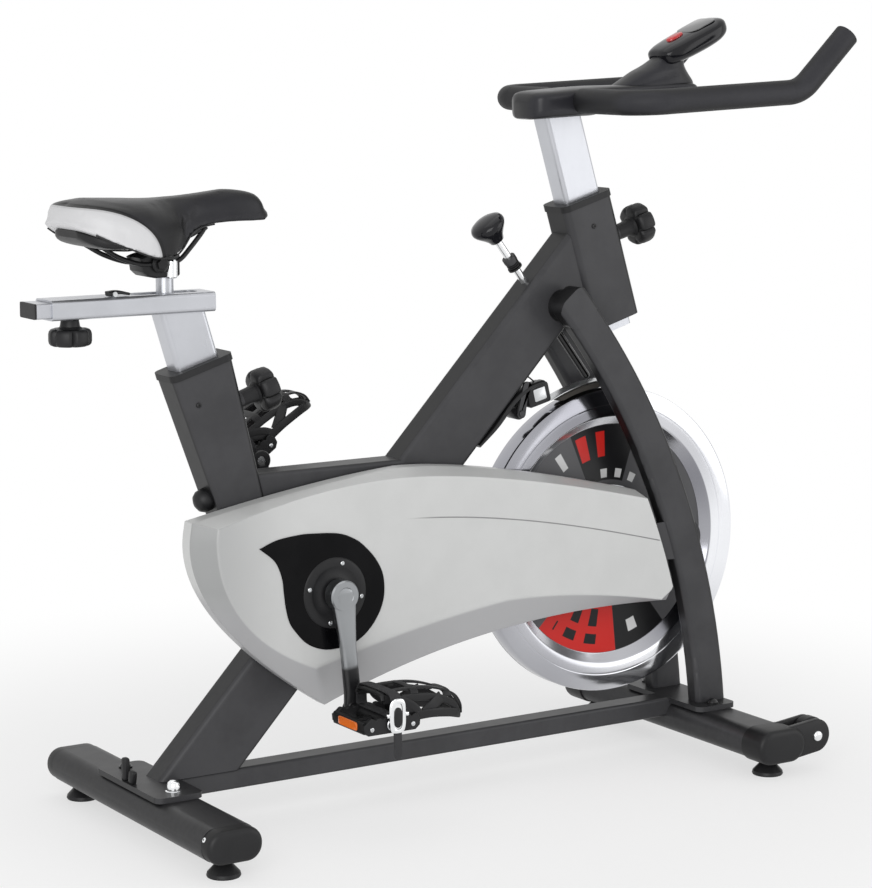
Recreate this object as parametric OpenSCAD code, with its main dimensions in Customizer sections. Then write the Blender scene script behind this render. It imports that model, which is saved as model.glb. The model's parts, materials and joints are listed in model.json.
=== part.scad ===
// Indoor cycling bike: welded steel frame, friction-braked flywheel, sliding saddle and handlebar.
// X points forwards, Y to the rider's left, Z up. The floor is z = 0, midway between the feet.

/* [Base] */
// Distance between the rear and the front levelling feet
wheelbase = 952; // [900:1:1000]
// Width of a stabiliser tube, front to back
stab_w = 84; // [78:1:90]
// Height of a stabiliser tube
stab_h = 48; // [44:1:54]
// Length of a stabiliser with its end caps
stab_len = 526; // [510:1:560]
// Distance of each foot from the end of its stabiliser
foot_inset = 39; // [36:1:50]
// Height of the stabilisers' underside above the floor
stab_lift = 26; // [22:1:34]
// Thickness of the plates that join the frame to the stabilisers
plate_t = 8; // [5:0.5:12]
// Length of those plates across the bike
plate_len = 200; // [190:1:230]
// Distance of the rear plate's bolts from its ends
bolt_inset = 24; // [18:1:30]
// Radius of the plate bolts
bolt_r = 5; // [4:0.5:6]
// Diameter of a foot's rubber pad
foot_d = 48; // [40:1:56]
// Radius of a foot's threaded stem
foot_stem_r = 5; // [4:0.5:7]
// Radius of a transport wheel
roller_r = 27; // [22:0.5:29]
// Width of a transport wheel
roller_w = 21; // [16:1:24]
// Radius of a transport wheel's bolt
roller_bolt_r = 5; // [3:0.5:6]
// Distance of the transport wheels' bolts ahead of the front feet
roller_ahead = 71; // [68:1:78]
// Height of the transport wheels' bolts
roller_z = 57; // [52:1:62]

/* [Frame] */
// Wall thickness of the frame's tubes
tube_wall = 3; // [2:0.5:4]
// Angle of the main beam above the horizontal
beam_angle = 46.8; // [46:0.1:47.5]
// Depth of the main beam, seen from the side
beam_depth = 96; // [90:1:102]
// Thickness of the main beam, across the bike
beam_t = 50; // [44:1:54]
// Distance of the beam's axis behind the front feet, at the plate's top
beam_back = 882; // [872:1:892]
// Depth of the head tube, seen from the side
head_depth = 90; // [84:1:96]
// Depth of the seat tube at its top, seen from the side
seat_depth = 98; // [92:1:104]
// Depth of the seat tube below its taper
seat_depth_low = 75; // [74:1:80]
// Length of the seat tube's taper
seat_taper = 205; // [180:1:230]
// Thickness of the head tube and the seat tube, across the bike
socket_t = 60; // [56:1:62]
// Length of the head tube
head_len = 192; // [170:1:200]
// Lean of the head tube and the handlebar post, top to the rear
head_lean = 16.8; // [15:0.1:18]
// Lean of the seat tube and the seat post, top to the rear
seat_lean = 17.1; // [15:0.1:19]
// Length of the seat tube's axis, from its top to the beam's axis
seat_len = 452; // [440:1:470]
// Place of the seat tube's foot along the beam
seat_along = 210; // [200:1:215]
// Place of the head tube's top along the beam
head_along = 1042; // [1036:1:1050]
// Height of the head tube's top above the beam's axis
head_up = 54; // [48:1:60]
// Height of the top tube's axis
top_tube_z = 492; // [484:1:500]
// Height of the top tube
top_tube_h = 40; // [34:1:46]
// Height of the bottom tube
bottom_tube_h = 30; // [24:1:36]
// Width of the bottom tube
bottom_tube_w = 40; // [34:1:46]
// Width of a fork arm, seen from the side
arm_w = 56; // [50:1:60]
// Thickness of a fork arm, across the bike
arm_t = 30; // [24:1:34]
// Gap between the two fork arms
arm_gap = 84; // [80:1:90]
// Radius of the fork arms' bend
arm_bend_r = 1180; // [1000:10:1400]
// Place of the fork arms' tops along the beam
arm_along = 898; // [885:1:905]
// Distance of the fork arms' tops below the beam's axis
arm_down = 17; // [10:1:24]

/* [Flywheel] */
// Outer radius of the flywheel
wheel_r = 240; // [225:1:245]
// Width of the flywheel's rim
rim_w = 36; // [30:1:40]
// Radial depth of the flywheel's rim
rim_depth = 43; // [36:1:50]
// Thickness of the flywheel's web
web_t = 10; // [6:1:14]
// Radius of the flywheel's bright hub flange
hub_flange_r = 86; // [76:1:92]
// Radius of the flywheel's hub barrel
hub_r = 24; // [20:1:30]
// Radius of the flywheel's axle
axle_r = 8.5; // [7:0.5:10]
// Distance of the flywheel's axle behind the front feet
wheel_back = 152; // [148:1:160]
// Height of the flywheel's axle
wheel_z = 350; // [345:1:360]

/* [Drive] */
// Radius of the crank pulley
crank_pulley_r = 105; // [90:1:110]
// Radius of the flywheel's pulley
wheel_pulley_r = 40; // [34:1:46]
// Width of the belt
belt_w = 12; // [10:1:14]
// Thickness of the belt
belt_t = 4; // [3:0.5:5]
// Distance of the belt's middle from the bike's centre plane
belt_y = 48; // [47:1:50]
// Place of the crank's axis along the beam
crank_along = 317; // [312:1:325]
// Height of the crank's axis above the beam's axis
crank_up = 37.7; // [34:0.1:40]
// Radius of the crank's spindle
spindle_r = 10; // [8:0.5:11]
// Outer radius of the bottom bracket shell
shell_r = 23; // [22:0.5:26]
// Length of a crank arm, from spindle to pedal
crank_len = 170; // [165:1:175]
// Thickness of a crank arm
crank_t = 18; // [14:1:20]
// Distance of a crank arm's inner face from the centre plane
crank_y = 98; // [95:1:104]
// Angle of the right crank arm ahead of straight down
crank_swing = 6; // [0:1:12]
// Width of a pedal, across the bike
pedal_w = 92; // [84:1:100]
// Length of a pedal, front to back
pedal_len = 96; // [90:1:104]
// Thickness of a pedal
pedal_h = 24; // [22:1:28]
// Radius of a pedal's axle
pedal_axle_r = 6; // [5:0.5:7]
// Reach of a toe cage ahead of the pedal's axle
cage_reach = 140; // [130:1:150]
// Height of a toe cage above the pedal's axle
cage_h = 44; // [40:1:54]
// Nose-up tilt of the left pedal
left_pedal_tilt = 36; // [20:1:45]

/* [Guard] */
// Thickness of the guard's plastic
guard_wall = 2.5; // [2:0.5:3]
// Depth of the guard, across the bike
guard_t = 50; // [48:1:54]
// Depth of the guard's straight side, behind its bevel
guard_side = 22; // [16:1:28]
// Distance of the guard's inner face from the centre plane
guard_y = 32; // [31:0.5:33]
// Radius of the guard's round dark insert
insert_r = 85; // [80:1:90]
// Radius of the round cover around the crank
cover_r = 55; // [50:1:60]

/* [Seat] */
// Depth of the seat post, seen from the side
post_depth = 68; // [64:1:68]
// Thickness of both posts, across the bike
post_t = 38; // [34:1:42]
// Length of the seat post's axis inside the seat tube
seat_post_in = 130; // [110:1:150]
// Height of the seat post's top above the seat tube's top, along its axis
seat_post_out = 87; // [75:1:100]
// Height of the slider sleeve
sleeve_h = 28; // [26:1:32]
// Width of the slider sleeve
sleeve_w = 56; // [50:1:60]
// Length of the slider sleeve
sleeve_len = 250; // [240:1:260]
// Distance of the sleeve's front end ahead of the post's axis
sleeve_ahead = 46; // [42:1:54]
// Length of the slider tube inside the sleeve
slider_len = 220; // [214:1:226]
// Distance that the slider tube stands out of the sleeve's rear end
slider_out = 22; // [16:1:30]
// Radius of the saddle's pin
saddle_pin_r = 12.5; // [11:0.5:13]
// Distance of the saddle's pin behind the slider tube's front end
saddle_pin_back = 14; // [13:1:16]
// Height of the saddle's pin above the sleeve
saddle_pin_h = 22; // [16:1:30]
// Length of the saddle
saddle_len = 318; // [300:1:330]
// Width of the saddle
saddle_w = 184; // [170:1:200]
// Thickness of the saddle's padding over its tray
saddle_h = 48; // [44:1:54]
// Height of the saddle's clamp block
saddle_clamp_h = 34; // [30:1:38]
// Radius of the saddle's rails
rail_r = 3.5; // [3:0.5:4]
// Distance between the saddle's rails
rail_track = 44; // [40:1:48]

/* [Handlebar] */
// Depth of the handlebar post, seen from the side
bar_post_depth = 66; // [60:1:70]
// Length of the handlebar post inside the head tube
bar_post_in = 206; // [200:1:212]
// Height of the handlebar's cross tube above the head tube's top, along the post
bar_rise = 164; // [150:1:180]
// Radius of the handlebar's steel tube
bar_r = 14; // [12:0.5:15]
// Radius of the handlebar's foam grips
grip_r = 19; // [18:0.5:20]
// Distance between the two horns of the handlebar
bar_track = 380; // [360:1:400]
// Length of a horn's straight part, from the cross tube's axis to the elbow
horn_len = 300; // [290:1:310]
// Length of a horn's rising part, from the elbow to the tip
tip_len = 124; // [115:1:130]
// Rise of the horn's tip against its straight part
tip_angle = 41; // [35:1:46]
// Bend radius of the handlebar's corners
bar_corner_r = 48; // [42:1:60]
// Slope of the handlebar's straight part
bar_slope = 2.5; // [0:0.5:4]
// Length of the console
console_len = 122; // [110:1:130]
// Width of the console
console_w = 74; // [66:1:84]
// Thickness of the console
console_t = 26; // [22:1:30]
// Tilt of the console
console_tilt = 24; // [18:1:30]

/* [Brake] */
// Place of the brake's push rod along the beam, where it leaves its sleeve
rod_along = 895; // [885:1:905]
// Height of that place above the beam's axis
rod_above = 79; // [76:1:90]
// Radius of the brake's push rod
rod_r = 6; // [5:0.5:7]
// Angle of the brake's push rod below the horizontal
rod_angle = 52.4; // [51:0.1:54]
// Gap between the brake pad and the flywheel
pad_gap = 3; // [3:0.1:4]
// Place of the brake lever's pivot along the beam
pivot_along = 733; // [728:1:740]
// Distance of that pivot below the beam
pivot_below = 30; // [28:1:32]
// Thickness of the brake pad
pad_t = 9; // [7:1:10]
// Width of the brake pad
pad_w = 32; // [26:1:36]
// Diameter of the brake's knob
brake_knob_d = 56; // [48:1:60]

/* [Knobs] */
// Diameter of the clamp knobs
knob_d = 64; // [58:1:68]
// Thickness of the clamp knobs
knob_h = 28; // [24:1:30]
// Radius of the clamp knobs' screws
screw_r = 5; // [4:0.5:6]
// Distance of the clamp screws below the tops of their tubes
screw_down = 68; // [60:1:76]

/* [Hidden] */

$fn = 64;
fit = 0.05;      // radial clearance of a running fit
slack = 0.3;     // gap between parts that slide past each other

frame_black = [0.10, 0.10, 0.11];
plastic_black = [0.06, 0.06, 0.065];
silver = [0.78, 0.79, 0.81];
chrome = [0.86, 0.87, 0.88];

rear_x = -wheelbase / 2;
front_x = wheelbase / 2;
stab_top = stab_lift + stab_h;
stab_z = stab_lift + stab_h / 2;
plate_top = stab_top + plate_t;
foot_y = stab_len / 2 - foot_inset;

// Distance of a plate's bolts from the centre plane. The front ones stand clear of the fork arms.
function bolt_y(x) = x < 0 ? plate_len / 2 - bolt_inset : arm_y + arm_t / 2 + bolt_r * 2 + 3;

// ---- places in the XZ plane, each as [x, z] ----
function beam_pt(along, up) =
    [front_x - beam_back + along * cos(beam_angle) - up * sin(beam_angle),
     plate_top + along * sin(beam_angle) + up * cos(beam_angle)];
function shift(p, d, a) = [p[0] + d * cos(a), p[1] + d * sin(a)];
function angle_to(p, q) = atan2(q[1] - p[1], q[0] - p[0]);
function gap_to(p, q) = norm(q - p);
function arc_centre(p, q, r) =
    shift((p + q) / 2, sqrt(r * r - gap_to(p, q) * gap_to(p, q) / 4), angle_to(p, q) - 90);
function curve(p, q, r, steps, first = 0) =
    [for (i = [first:steps]) let (t = i / steps) (1 - t) * (1 - t) * p + 2 * t * (1 - t) * q + t * t * r];

head_pt = beam_pt(head_along, head_up);
seat_pt = shift(beam_pt(seat_along, 0), seat_len, 90 + seat_lean);
crank_pt = beam_pt(crank_along, crank_up);
wheel_pt = [front_x - wheel_back, wheel_z];
arm_top = beam_pt(arm_along, -arm_down);
arm_foot = [front_x + 9.5, plate_top];
arm_centre = arc_centre(arm_top, arm_foot, arm_bend_r);
arm_y = (arm_gap + arm_t) / 2;
dropout_t = 8;
dropout_y = arm_y + arm_t / 2 - dropout_t - 4;
pedal_right_pt = shift(crank_pt, crank_len, crank_swing - 90);
pedal_left_pt = shift(crank_pt, crank_len, crank_swing + 90);
pedal_y = crank_y + crank_t + 6 + pedal_w / 2;

// ---- shared shapes ----
module at(p) {
    translate([p[0], 0, p[1]]) children();
}

// Draws a side view, with its Y as height, and gives it the thickness t from y0 on.
module side(y0, t) {
    translate([0, y0 + t, 0]) rotate([90, 0, 0]) linear_extrude(t) children();
}

module y_rod(p, r, y0, y1) {
    translate([p[0], y0, p[1]]) rotate([-90, 0, 0]) cylinder(r = r, h = y1 - y0);
}

module rounded(w, d, r) {
    square([w - 2 * r, d], center = true);
    square([w, d - 2 * r], center = true);
    for (x = [-1, 1], y = [-1, 1]) translate([x * (w / 2 - r), y * (d / 2 - r)]) circle(r);
}

module box_tube(w, d, h, r, wall) {
    linear_extrude(h) difference() {
        rounded(w, d, r);
        rounded(w - 2 * wall, d - 2 * wall, max(r - wall, 1));
    }
}

module box_bar(w, d, h, r) {
    linear_extrude(h) rounded(w, d, r);
}

// Outline around two circles, with straight sides. They lie a hair inside the true tangents, so
// that they cross the circles cleanly.
tangent_in = 0.998;

module link(p, q, rp, rq) {
    a = angle_to(p, q);
    b = acos((rp - rq) / gap_to(p, q));
    translate(p) circle(rp, $fn = 96);
    translate(q) circle(rq, $fn = 96);
    polygon([shift(p, tangent_in * rp, a + b), shift(q, tangent_in * rq, a + b),
             shift(q, tangent_in * rq, a - b), shift(p, tangent_in * rp, a - b)]);
}

// A disc with rounded edges, standing across the bike.
module round_disc(r, t, edge) {
    rotate([90, 0, 0]) rotate_extrude($fn = 96) intersection() {
        rounded(2 * r, t, edge);
        translate([0, -t]) square([2 * r, 2 * t]);
    }
}

module lobed_knob(d, h) {
    bevel = 5;
    difference() {
        rotate_extrude() polygon([[0, 0], [d / 2 - bevel, 0], [d / 2, bevel], [d / 2, h - bevel],
                                  [d / 2 - bevel, h], [0, h]]);
        for (i = [0:5]) rotate(60 * i + 30) translate([d * 0.58, 0, -1]) cylinder(r = d * 0.14, h = h + 2);
    }
}

module above(z) {
    intersection() {
        translate([-1500, -500, z]) cube([3000, 1000, 2000]);
        children();
    }
}

// ---- base ----
module stab_outline(grow = 0) {
    translate([0, stab_z]) rounded(stab_w + 2 * grow, stab_h + 2 * grow, stab_h / 2 - 3 + grow);
}

module stab_solid(x) {
    translate([x, 0, 0]) side(-stab_len / 2, stab_len) stab_outline();
}

cap_reach = 24;  // length of a rear end cap
cap_t = 5;       // wall of a front end cap across its end
sleeve_t = 3;    // wall of a front end cap around the tube
tube_end = [stab_len / 2 - cap_reach, stab_len / 2 - cap_t];

module stab_tube(x, half) {
    difference() {
        translate([x, 0, 0]) side(-half, 2 * half) difference() {
            stab_outline();
            stab_outline(-tube_wall);
        }
        for (y = [-1, 1]) {
            translate([x, y * foot_y, 0]) cylinder(r = foot_stem_r + fit, h = stab_z);
            translate([x, y * bolt_y(x), stab_z]) cylinder(r = bolt_r, h = stab_h);
        }
    }
}

module stabilisers() {
    color(frame_black) {
        stab_tube(rear_x, tube_end[0]);
        stab_tube(front_x, tube_end[1]);
    }
}

module plate_solid(x) {
    translate([x, 0, stab_top]) box_bar(stab_w - 10, plate_len, plate_t, 12);
}

module stabiliser_plates() {
    color(frame_black) for (x = [rear_x, front_x]) difference() {
        plate_solid(x);
        for (y = [-1, 1]) translate([x, y * bolt_y(x), 0]) cylinder(r = bolt_r, h = plate_top + 1);
    }
}

module frame_bolts() {
    color(chrome) {
        for (x = [rear_x, front_x], y = [-1, 1]) translate([x, y * bolt_y(x), 0]) {
            translate([0, 0, stab_top - tube_wall]) cylinder(r = bolt_r, h = plate_t + tube_wall);
            translate([0, 0, plate_top]) cylinder(r = bolt_r * 2, h = 2);
            translate([0, 0, plate_top + 2]) dome(bolt_r * 1.7, 6);
        }
        for (s = [-1, 1]) translate([front_x + roller_ahead, s * ear_out, roller_z]) rotate([s * -90, 0, 0]) {
            translate([0, 0, ear_in - ear_out]) cylinder(r = roller_bolt_r, h = ear_out - ear_in);
            dome(roller_bolt_r * 1.8, 5);
        }
    }
}

// Low round head: a slice of a ball with base radius r and height h.
module dome(r, h) {
    ball = (r * r + h * h) / (2 * h);
    intersection() {
        translate([0, 0, h - ball]) sphere(ball, $fn = 48);
        cylinder(r = r, h = h);
    }
}

module rear_end_caps() {
    for (y = [-1, 1]) intersection() {
        translate([rear_x, 0, 0]) side(y > 0 ? tube_end[0] : -stab_len / 2, cap_reach) stab_outline();
        translate([rear_x, 0, 0]) box_bar(stab_w, stab_len, stab_top + 1, 20);
    }
}

cap_in = foot_y - 10;               // inner end of a front end cap
roller_gap = 0.5;                   // gap between a transport wheel and each ear
roller_y = stab_len / 2 - 28;       // middle of a transport wheel
ear_in = roller_y - roller_w / 2 - roller_gap;
ear_out = roller_y + roller_w / 2 + roller_gap + 6;

module front_cap_body() {
    intersection() {
        side(cap_in, stab_len / 2 - cap_in) stab_outline(sleeve_t);
        translate([0, 0, -10]) box_bar(stab_w + 2 * sleeve_t, stab_len, stab_top + 40, 22);
    }
    side(ear_in - 6, ear_out - ear_in + 6) link([roller_ahead, roller_z], [0, stab_z], 19, stab_h / 2);
}

module front_end_cap() {
    difference() {
        front_cap_body();
        side(0, tube_end[1]) stab_outline();
        translate([stab_w / 2 + sleeve_t, ear_in, 0])
            cube([roller_ahead, ear_out - ear_in - 6, 200]);
        y_rod([roller_ahead, roller_z], roller_r + 3, ear_in, ear_out - 6);
        y_rod([roller_ahead, roller_z], roller_bolt_r, 0, ear_out + 1);
        translate([0, foot_y, 0]) cylinder(r = foot_stem_r + fit, h = stab_z);
    }
}

module end_caps() {
    color(plastic_black) {
        rear_end_caps();
        translate([front_x, 0, 0]) {
            front_end_cap();
            mirror([0, 1, 0]) front_end_cap();
        }
    }
}

module roller(s) {
    translate([front_x + roller_ahead, s * roller_y, roller_z]) difference() {
        round_disc(roller_r, roller_w, 4);
        y_rod([0, 0], roller_bolt_r + fit, -roller_w, roller_w);
        for (y = [-1, 1]) translate([0, y * (roller_w / 2 + 3), 0])
            rotate([90, 0, 0]) cylinder(r = roller_r * 0.6, h = 10, center = true);
    }
}

module roller_right() {
    color(plastic_black) roller(-1);
}

module roller_left() {
    color(plastic_black) roller(1);
}

module levelling_foot(x, y) {
    top = stab_lift - sleeve_t - 1;
    nut = foot_stem_r + 6;
    color(plastic_black) translate([x, y, 0]) {
        rotate_extrude() polygon([[0, 0], [foot_d / 2 - 1, 0], [foot_d / 2, 2], [foot_d / 2 - 1, 6],
                                  [nut, top - 3], [nut, top], [0, top]]);
        cylinder(r = foot_stem_r, h = stab_z - 2);
    }
}

module foot_rear_right() {
    levelling_foot(rear_x, -foot_y);
}

module foot_rear_left() {
    levelling_foot(rear_x, foot_y);
}

module foot_front_right() {
    levelling_foot(front_x, -foot_y);
}

module foot_front_left() {
    levelling_foot(front_x, foot_y);
}

// ---- frame ----
module along_beam() {
    at(beam_pt(0, 0)) rotate([0, 90 - beam_angle, 0]) children();
}

module in_head() {
    at(head_pt) rotate([0, -head_lean, 0]) children();
}

module in_seat() {
    at(seat_pt) rotate([0, -seat_lean, 0]) children();
}

beam_end = head_along - 32;

module beam_solid() {
    along_beam() translate([0, 0, -120]) box_bar(beam_depth, beam_t, beam_end + 120, 8);
}

module head_solid() {
    in_head() translate([0, 0, -head_len]) box_bar(head_depth, socket_t, head_len, 10);
}

module seat_taper_bar(inset, top) {
    hull() {
        translate([0, 0, top - 1])
            box_bar(seat_depth - 2 * inset, socket_t - 2 * inset, 1, 10 - inset, $fn = 32);
        translate([0, 0, -seat_taper])
            box_bar(seat_depth_low - 2 * inset, socket_t - 2 * inset, 1, 10 - inset, $fn = 32);
    }
}

module seat_solid(inset = 0) {
    in_seat() {
        seat_taper_bar(inset, 0);
        translate([0, 0, -seat_len])
            box_bar(seat_depth_low - 2 * inset, socket_t - 2 * inset, seat_len - seat_taper + 1, 10 - inset);
    }
}

module main_beam() {
    color(frame_black) difference() {
        along_beam() translate([0, 0, -120]) box_tube(beam_depth, beam_t, beam_end + 120, 8, tube_wall);
        translate([front_x - 2 * beam_back, -beam_t, -plate_top])
            cube([2 * beam_back, 2 * beam_t, 2 * plate_top]);
        head_solid();
        y_rod(crank_pt, shell_r, -beam_t, beam_t);
        brake_line() cylinder(r = rod_r + fit, h = 600, center = true);
    }
}

module clamp_boss(face) {
    translate([face - 4, 0, -screw_down]) rotate([0, 90, 0]) cylinder(r = 13, h = 14);
}

module clamp_hole() {
    translate([0, 0, -screw_down]) rotate([0, 90, 0]) cylinder(r = screw_r + fit, h = 200);
}

module head_tube() {
    color(frame_black) in_head() difference() {
        union() {
            translate([0, 0, -head_len]) box_bar(head_depth, socket_t, head_len, 10);
            clamp_boss(head_depth / 2);
        }
        translate([0, 0, -head_len - 1])
            box_bar(head_depth - 8, socket_t - 8, head_len + 2, 6);
        clamp_hole();
    }
}

module seat_tube() {
    color(frame_black) difference() {
        union() {
            seat_solid();
            in_seat() clamp_boss((seat_depth - screw_down * (seat_depth - seat_depth_low) / seat_taper) / 2);
        }
        seat_solid(tube_wall);
        in_seat() clamp_hole();
        in_seat() translate([0, 0, -2]) seat_taper_bar(tube_wall, 3);
        beam_solid();
    }
}

bush_len = 50;

module bush(depth, post_depth) {
    difference() {
        union() {
            box_bar(depth + 4, socket_t + 4, 10, 12);
            translate([0, 0, -bush_len]) box_bar(depth - 14, socket_t - 9, bush_len, 4);
        }
        translate([0, 0, -bush_len - 1])
            box_bar(post_depth + 2 * slack, post_t + 2 * slack, bush_len + 20, 7 + slack);
    }
}

module post_bushes() {
    color(plastic_black) {
        in_head() bush(head_depth, bar_post_depth);
        in_seat() bush(seat_depth, post_depth);
    }
}

module top_tube() {
    color(frame_black) difference() {
        translate([seat_pt[0], 0, top_tube_z]) rotate([0, 90, 0])
            box_tube(top_tube_h, beam_t, crank_pt[0] - seat_pt[0] + 260, 6, tube_wall);
        seat_solid();
        beam_solid();
        along_beam() translate([-20, -100, 0]) cube([300, 200, 900]);
        in_seat() translate([-300, -100, -400]) cube([300, 200, 500]);
    }
}

module bottom_tube() {
    color(frame_black) difference() {
        translate([rear_x + stab_w / 2, 0, plate_top - bottom_tube_h / 2]) rotate([0, 90, 0])
            box_tube(bottom_tube_h, bottom_tube_w, wheelbase - stab_w / 2, 5, tube_wall);
        stab_solid(front_x);
        plate_solid(front_x);
    }
}

module arm_solid(s) {
    a0 = angle_to(arm_centre, arm_foot) - 3;
    a1 = angle_to(arm_centre, arm_top);
    at(arm_centre) rotate([90, 0, 0]) rotate([0, 0, a0]) rotate_extrude(angle = a1 - a0, $fn = 360)
        translate([arm_bend_r, -s * arm_y]) rounded(arm_w, arm_t, 8);
    arm_end(s, a1);
}

// The closed, rounded upper end of a fork arm. It is a hair larger than the arm that runs into it.
module arm_end(s, a) {
    w = arm_w + 2;
    l = 52;
    translate([0, s * arm_y, 0]) at(arm_top) rotate([0, -a, 0]) intersection() {
        translate([0, 0, -l / 2]) box_bar(w, arm_t + 2, l, 9);
        side(-arm_t, 2 * arm_t) rounded(w, l, 17);
    }
}

module dropout(s, grow = 0) {
    y0 = s > 0 ? dropout_y : -dropout_y - dropout_t;
    reach = arm_at(wheel_z) - wheel_pt[0];
    side(y0 - grow, dropout_t + 2 * grow)
        link(wheel_pt, wheel_pt + [reach, 0], 27 + grow, 32 + grow);
}

// Forward place of the fork arms' middle line at height z
function arm_at(z) =
    arm_centre[0] + sqrt(arm_bend_r * arm_bend_r - (z - arm_centre[1]) * (z - arm_centre[1]));

module fork_arms() {
    color(frame_black) above(plate_top) for (s = [-1, 1]) difference() {
        union() {
            arm_solid(s);
            dropout(s);
            y_rod(arm_top, arm_w / 2 - 3, s > 0 ? beam_t / 2 : -arm_y, s > 0 ? arm_y : -beam_t / 2);
        }
        y_rod(wheel_pt, axle_r + fit, -arm_y * 2, arm_y * 2);
    }
}

nut_r = 15;
nut_h = 9;
axle_half = dropout_y + dropout_t;

module flywheel_axle() {
    color(chrome) {
        y_rod(wheel_pt, axle_r, -axle_half - nut_h, axle_half + nut_h);
        for (y = [-axle_half - nut_h, axle_half]) y_rod(wheel_pt, nut_r, y, y + nut_h, $fn = 6);
    }
}

shell_half = 34;
bearing_w = 12;

module bottom_bracket_shell() {
    color(frame_black) difference() {
        y_rod(crank_pt, shell_r, -shell_half, shell_half);
        y_rod(crank_pt, shell_r - tube_wall, -shell_half - 1, shell_half + 1);
    }
}

module bottom_bracket_bearings() {
    color(chrome) for (y = [-shell_half, shell_half - bearing_w]) difference() {
        y_rod(crank_pt, shell_r - tube_wall, y, y + bearing_w);
        y_rod(crank_pt, spindle_r + fit, y - 1, y + bearing_w + 1);
    }
}

// ---- guard ----
guard_mid = [(crank_pt[0] + wheel_pt[0]) / 2 - 64, crank_pt[1] - 2];
guard_size = [wheel_pt[0] - crank_pt[0] + 307, 339];     // length and height of the outline
// The guard ends on this circle about the arms' centre, just ahead of the belt
guard_front = gap_to(arm_centre, wheel_pt) + wheel_pulley_r + belt_t + guard_wall + 1.5;

// Outline of the guard's straight side. The rear follows the crank pulley, the front narrows.
function guard_outline() = let (c = crank_pt, w = wheel_pt)
    concat(curve(c + [-214, 118], c + [-10, 158], c + [130, 167], 8),
           curve(c + [130, 167], c + [280, 168], w + [90, 65], 8, 1),
           curve(w + [90, -99], c + [290, -66], c + [0, -172], 16),
           curve(c + [0, -172], c + [-234, -20], c + [-217, 100], 8, 1));

// Outline of its flat outer face, with as many points. The bevel between the two is widest below.
function guard_crease() = let (c = crank_pt, w = wheel_pt)
    concat(curve(c + [-185, 110], c + [-30, 157], c + [110, 157], 8),
           curve(c + [110, 157], c + [300, 154], w + [84, 57], 8, 1),
           curve(w + [84, -97], w + [-110, -53], c + [300, -45], 8),
           curve(c + [300, -45], c + [140, -62], c + [-31, -106], 8, 1),
           curve(c + [-31, -106], c + [-188, -44], c + [-187, 96], 8, 1));

function guard_inset(outline, d) =
    [for (p = outline) let (q = p - guard_mid)
        guard_mid + [q[0] * (1 - 2 * d / guard_size[0]), q[1] * (1 - 2 * d / guard_size[1])]];

// The guard's solid form, inset by d: straight from y0 to y1, then bevelled to its face at y2.
module guard_block(d, y0, y1, y2) {
    side = guard_inset(guard_outline(), d);
    face = guard_inset(guard_crease(), d);
    n = len(side);
    intersection() {
        polyhedron(
            points = concat([for (p = side) [p[0], -y0, p[1]]], [for (p = side) [p[0], -y1, p[1]]],
                            [for (p = face) [p[0], -y2, p[1]]]),
            faces = concat([[for (i = [0:n - 1]) n - 1 - i], [for (i = [0:n - 1]) 2 * n + i]],
                           [for (i = [0:n - 1]) let (j = (i + 1) % n) [i, j, n + j, n + i]],
                           [for (i = [0:n - 1]) let (j = (i + 1) % n) [n + i, n + j, 2 * n + j]],
                           [for (i = [0:n - 1]) let (j = (i + 1) % n) [n + i, 2 * n + j, 2 * n + i]]));
        y_rod(arm_centre, guard_front - d, -200, 0, $fn = 720);
    }
}

module guard_shell() {
    color([0.72, 0.73, 0.74]) difference() {
        guard_block(0, guard_y, guard_y + guard_side, guard_face);
        guard_block(guard_wall, guard_y - 1, guard_y + guard_side - 1, guard_face - guard_wall);
        y_rod(crank_pt, cover_r - 6, -200, 0);
        dropout(-1, 1);
    }
}

module guard_back() {
    color([0.30, 0.30, 0.31]) difference() {
        union() {
            intersection() {
                side(-guard_y - guard_wall, guard_wall) polygon(guard_inset(guard_outline(), guard_wall));
                y_rod(arm_centre, guard_front - guard_wall, -200, 0, $fn = 720);
            }
            for (d = [60, 150]) y_rod(beam_pt(crank_along + d, 0), 9, -guard_y, -beam_t / 2);
        }
        y_rod(crank_pt, shell_r + 2, -guard_y - 10, 0);
        y_rod(wheel_pt, hub_r + 4, -guard_y - 10, 0);
    }
}

guard_face = guard_y + guard_t;

module guard_insert() {
    color(plastic_black) side(-guard_face - 2, 2) difference() {
        union() {
            translate(crank_pt) circle(insert_r, $fn = 96);
            polygon([for (p = [[0, insert_r], [-57, insert_r + 2], [-122, 73], [-94, 54], [-82, 22], [0, 0]])
                     crank_pt + p]);
        }
        translate(crank_pt) circle(cover_r + 0.2, $fn = 96);
    }
}

module crank_cover() {
    color([0.16, 0.16, 0.17]) difference() {
        union() {
            y_rod(crank_pt, cover_r, -guard_face - 4, -guard_face);
            y_rod(crank_pt, cover_r - 6.2, -guard_face, -guard_face + guard_wall);
            for (i = [0:3]) translate([crank_pt[0], -guard_face - 4, crank_pt[1]])
                rotate([90, 90 * i + 22, 0]) translate([cover_r - 8, 0, 0]) cylinder(r = 4, h = 1.5);
        }
        y_rod(crank_pt, spindle_r + 3, -guard_face - 10, 0);
    }
}

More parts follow.
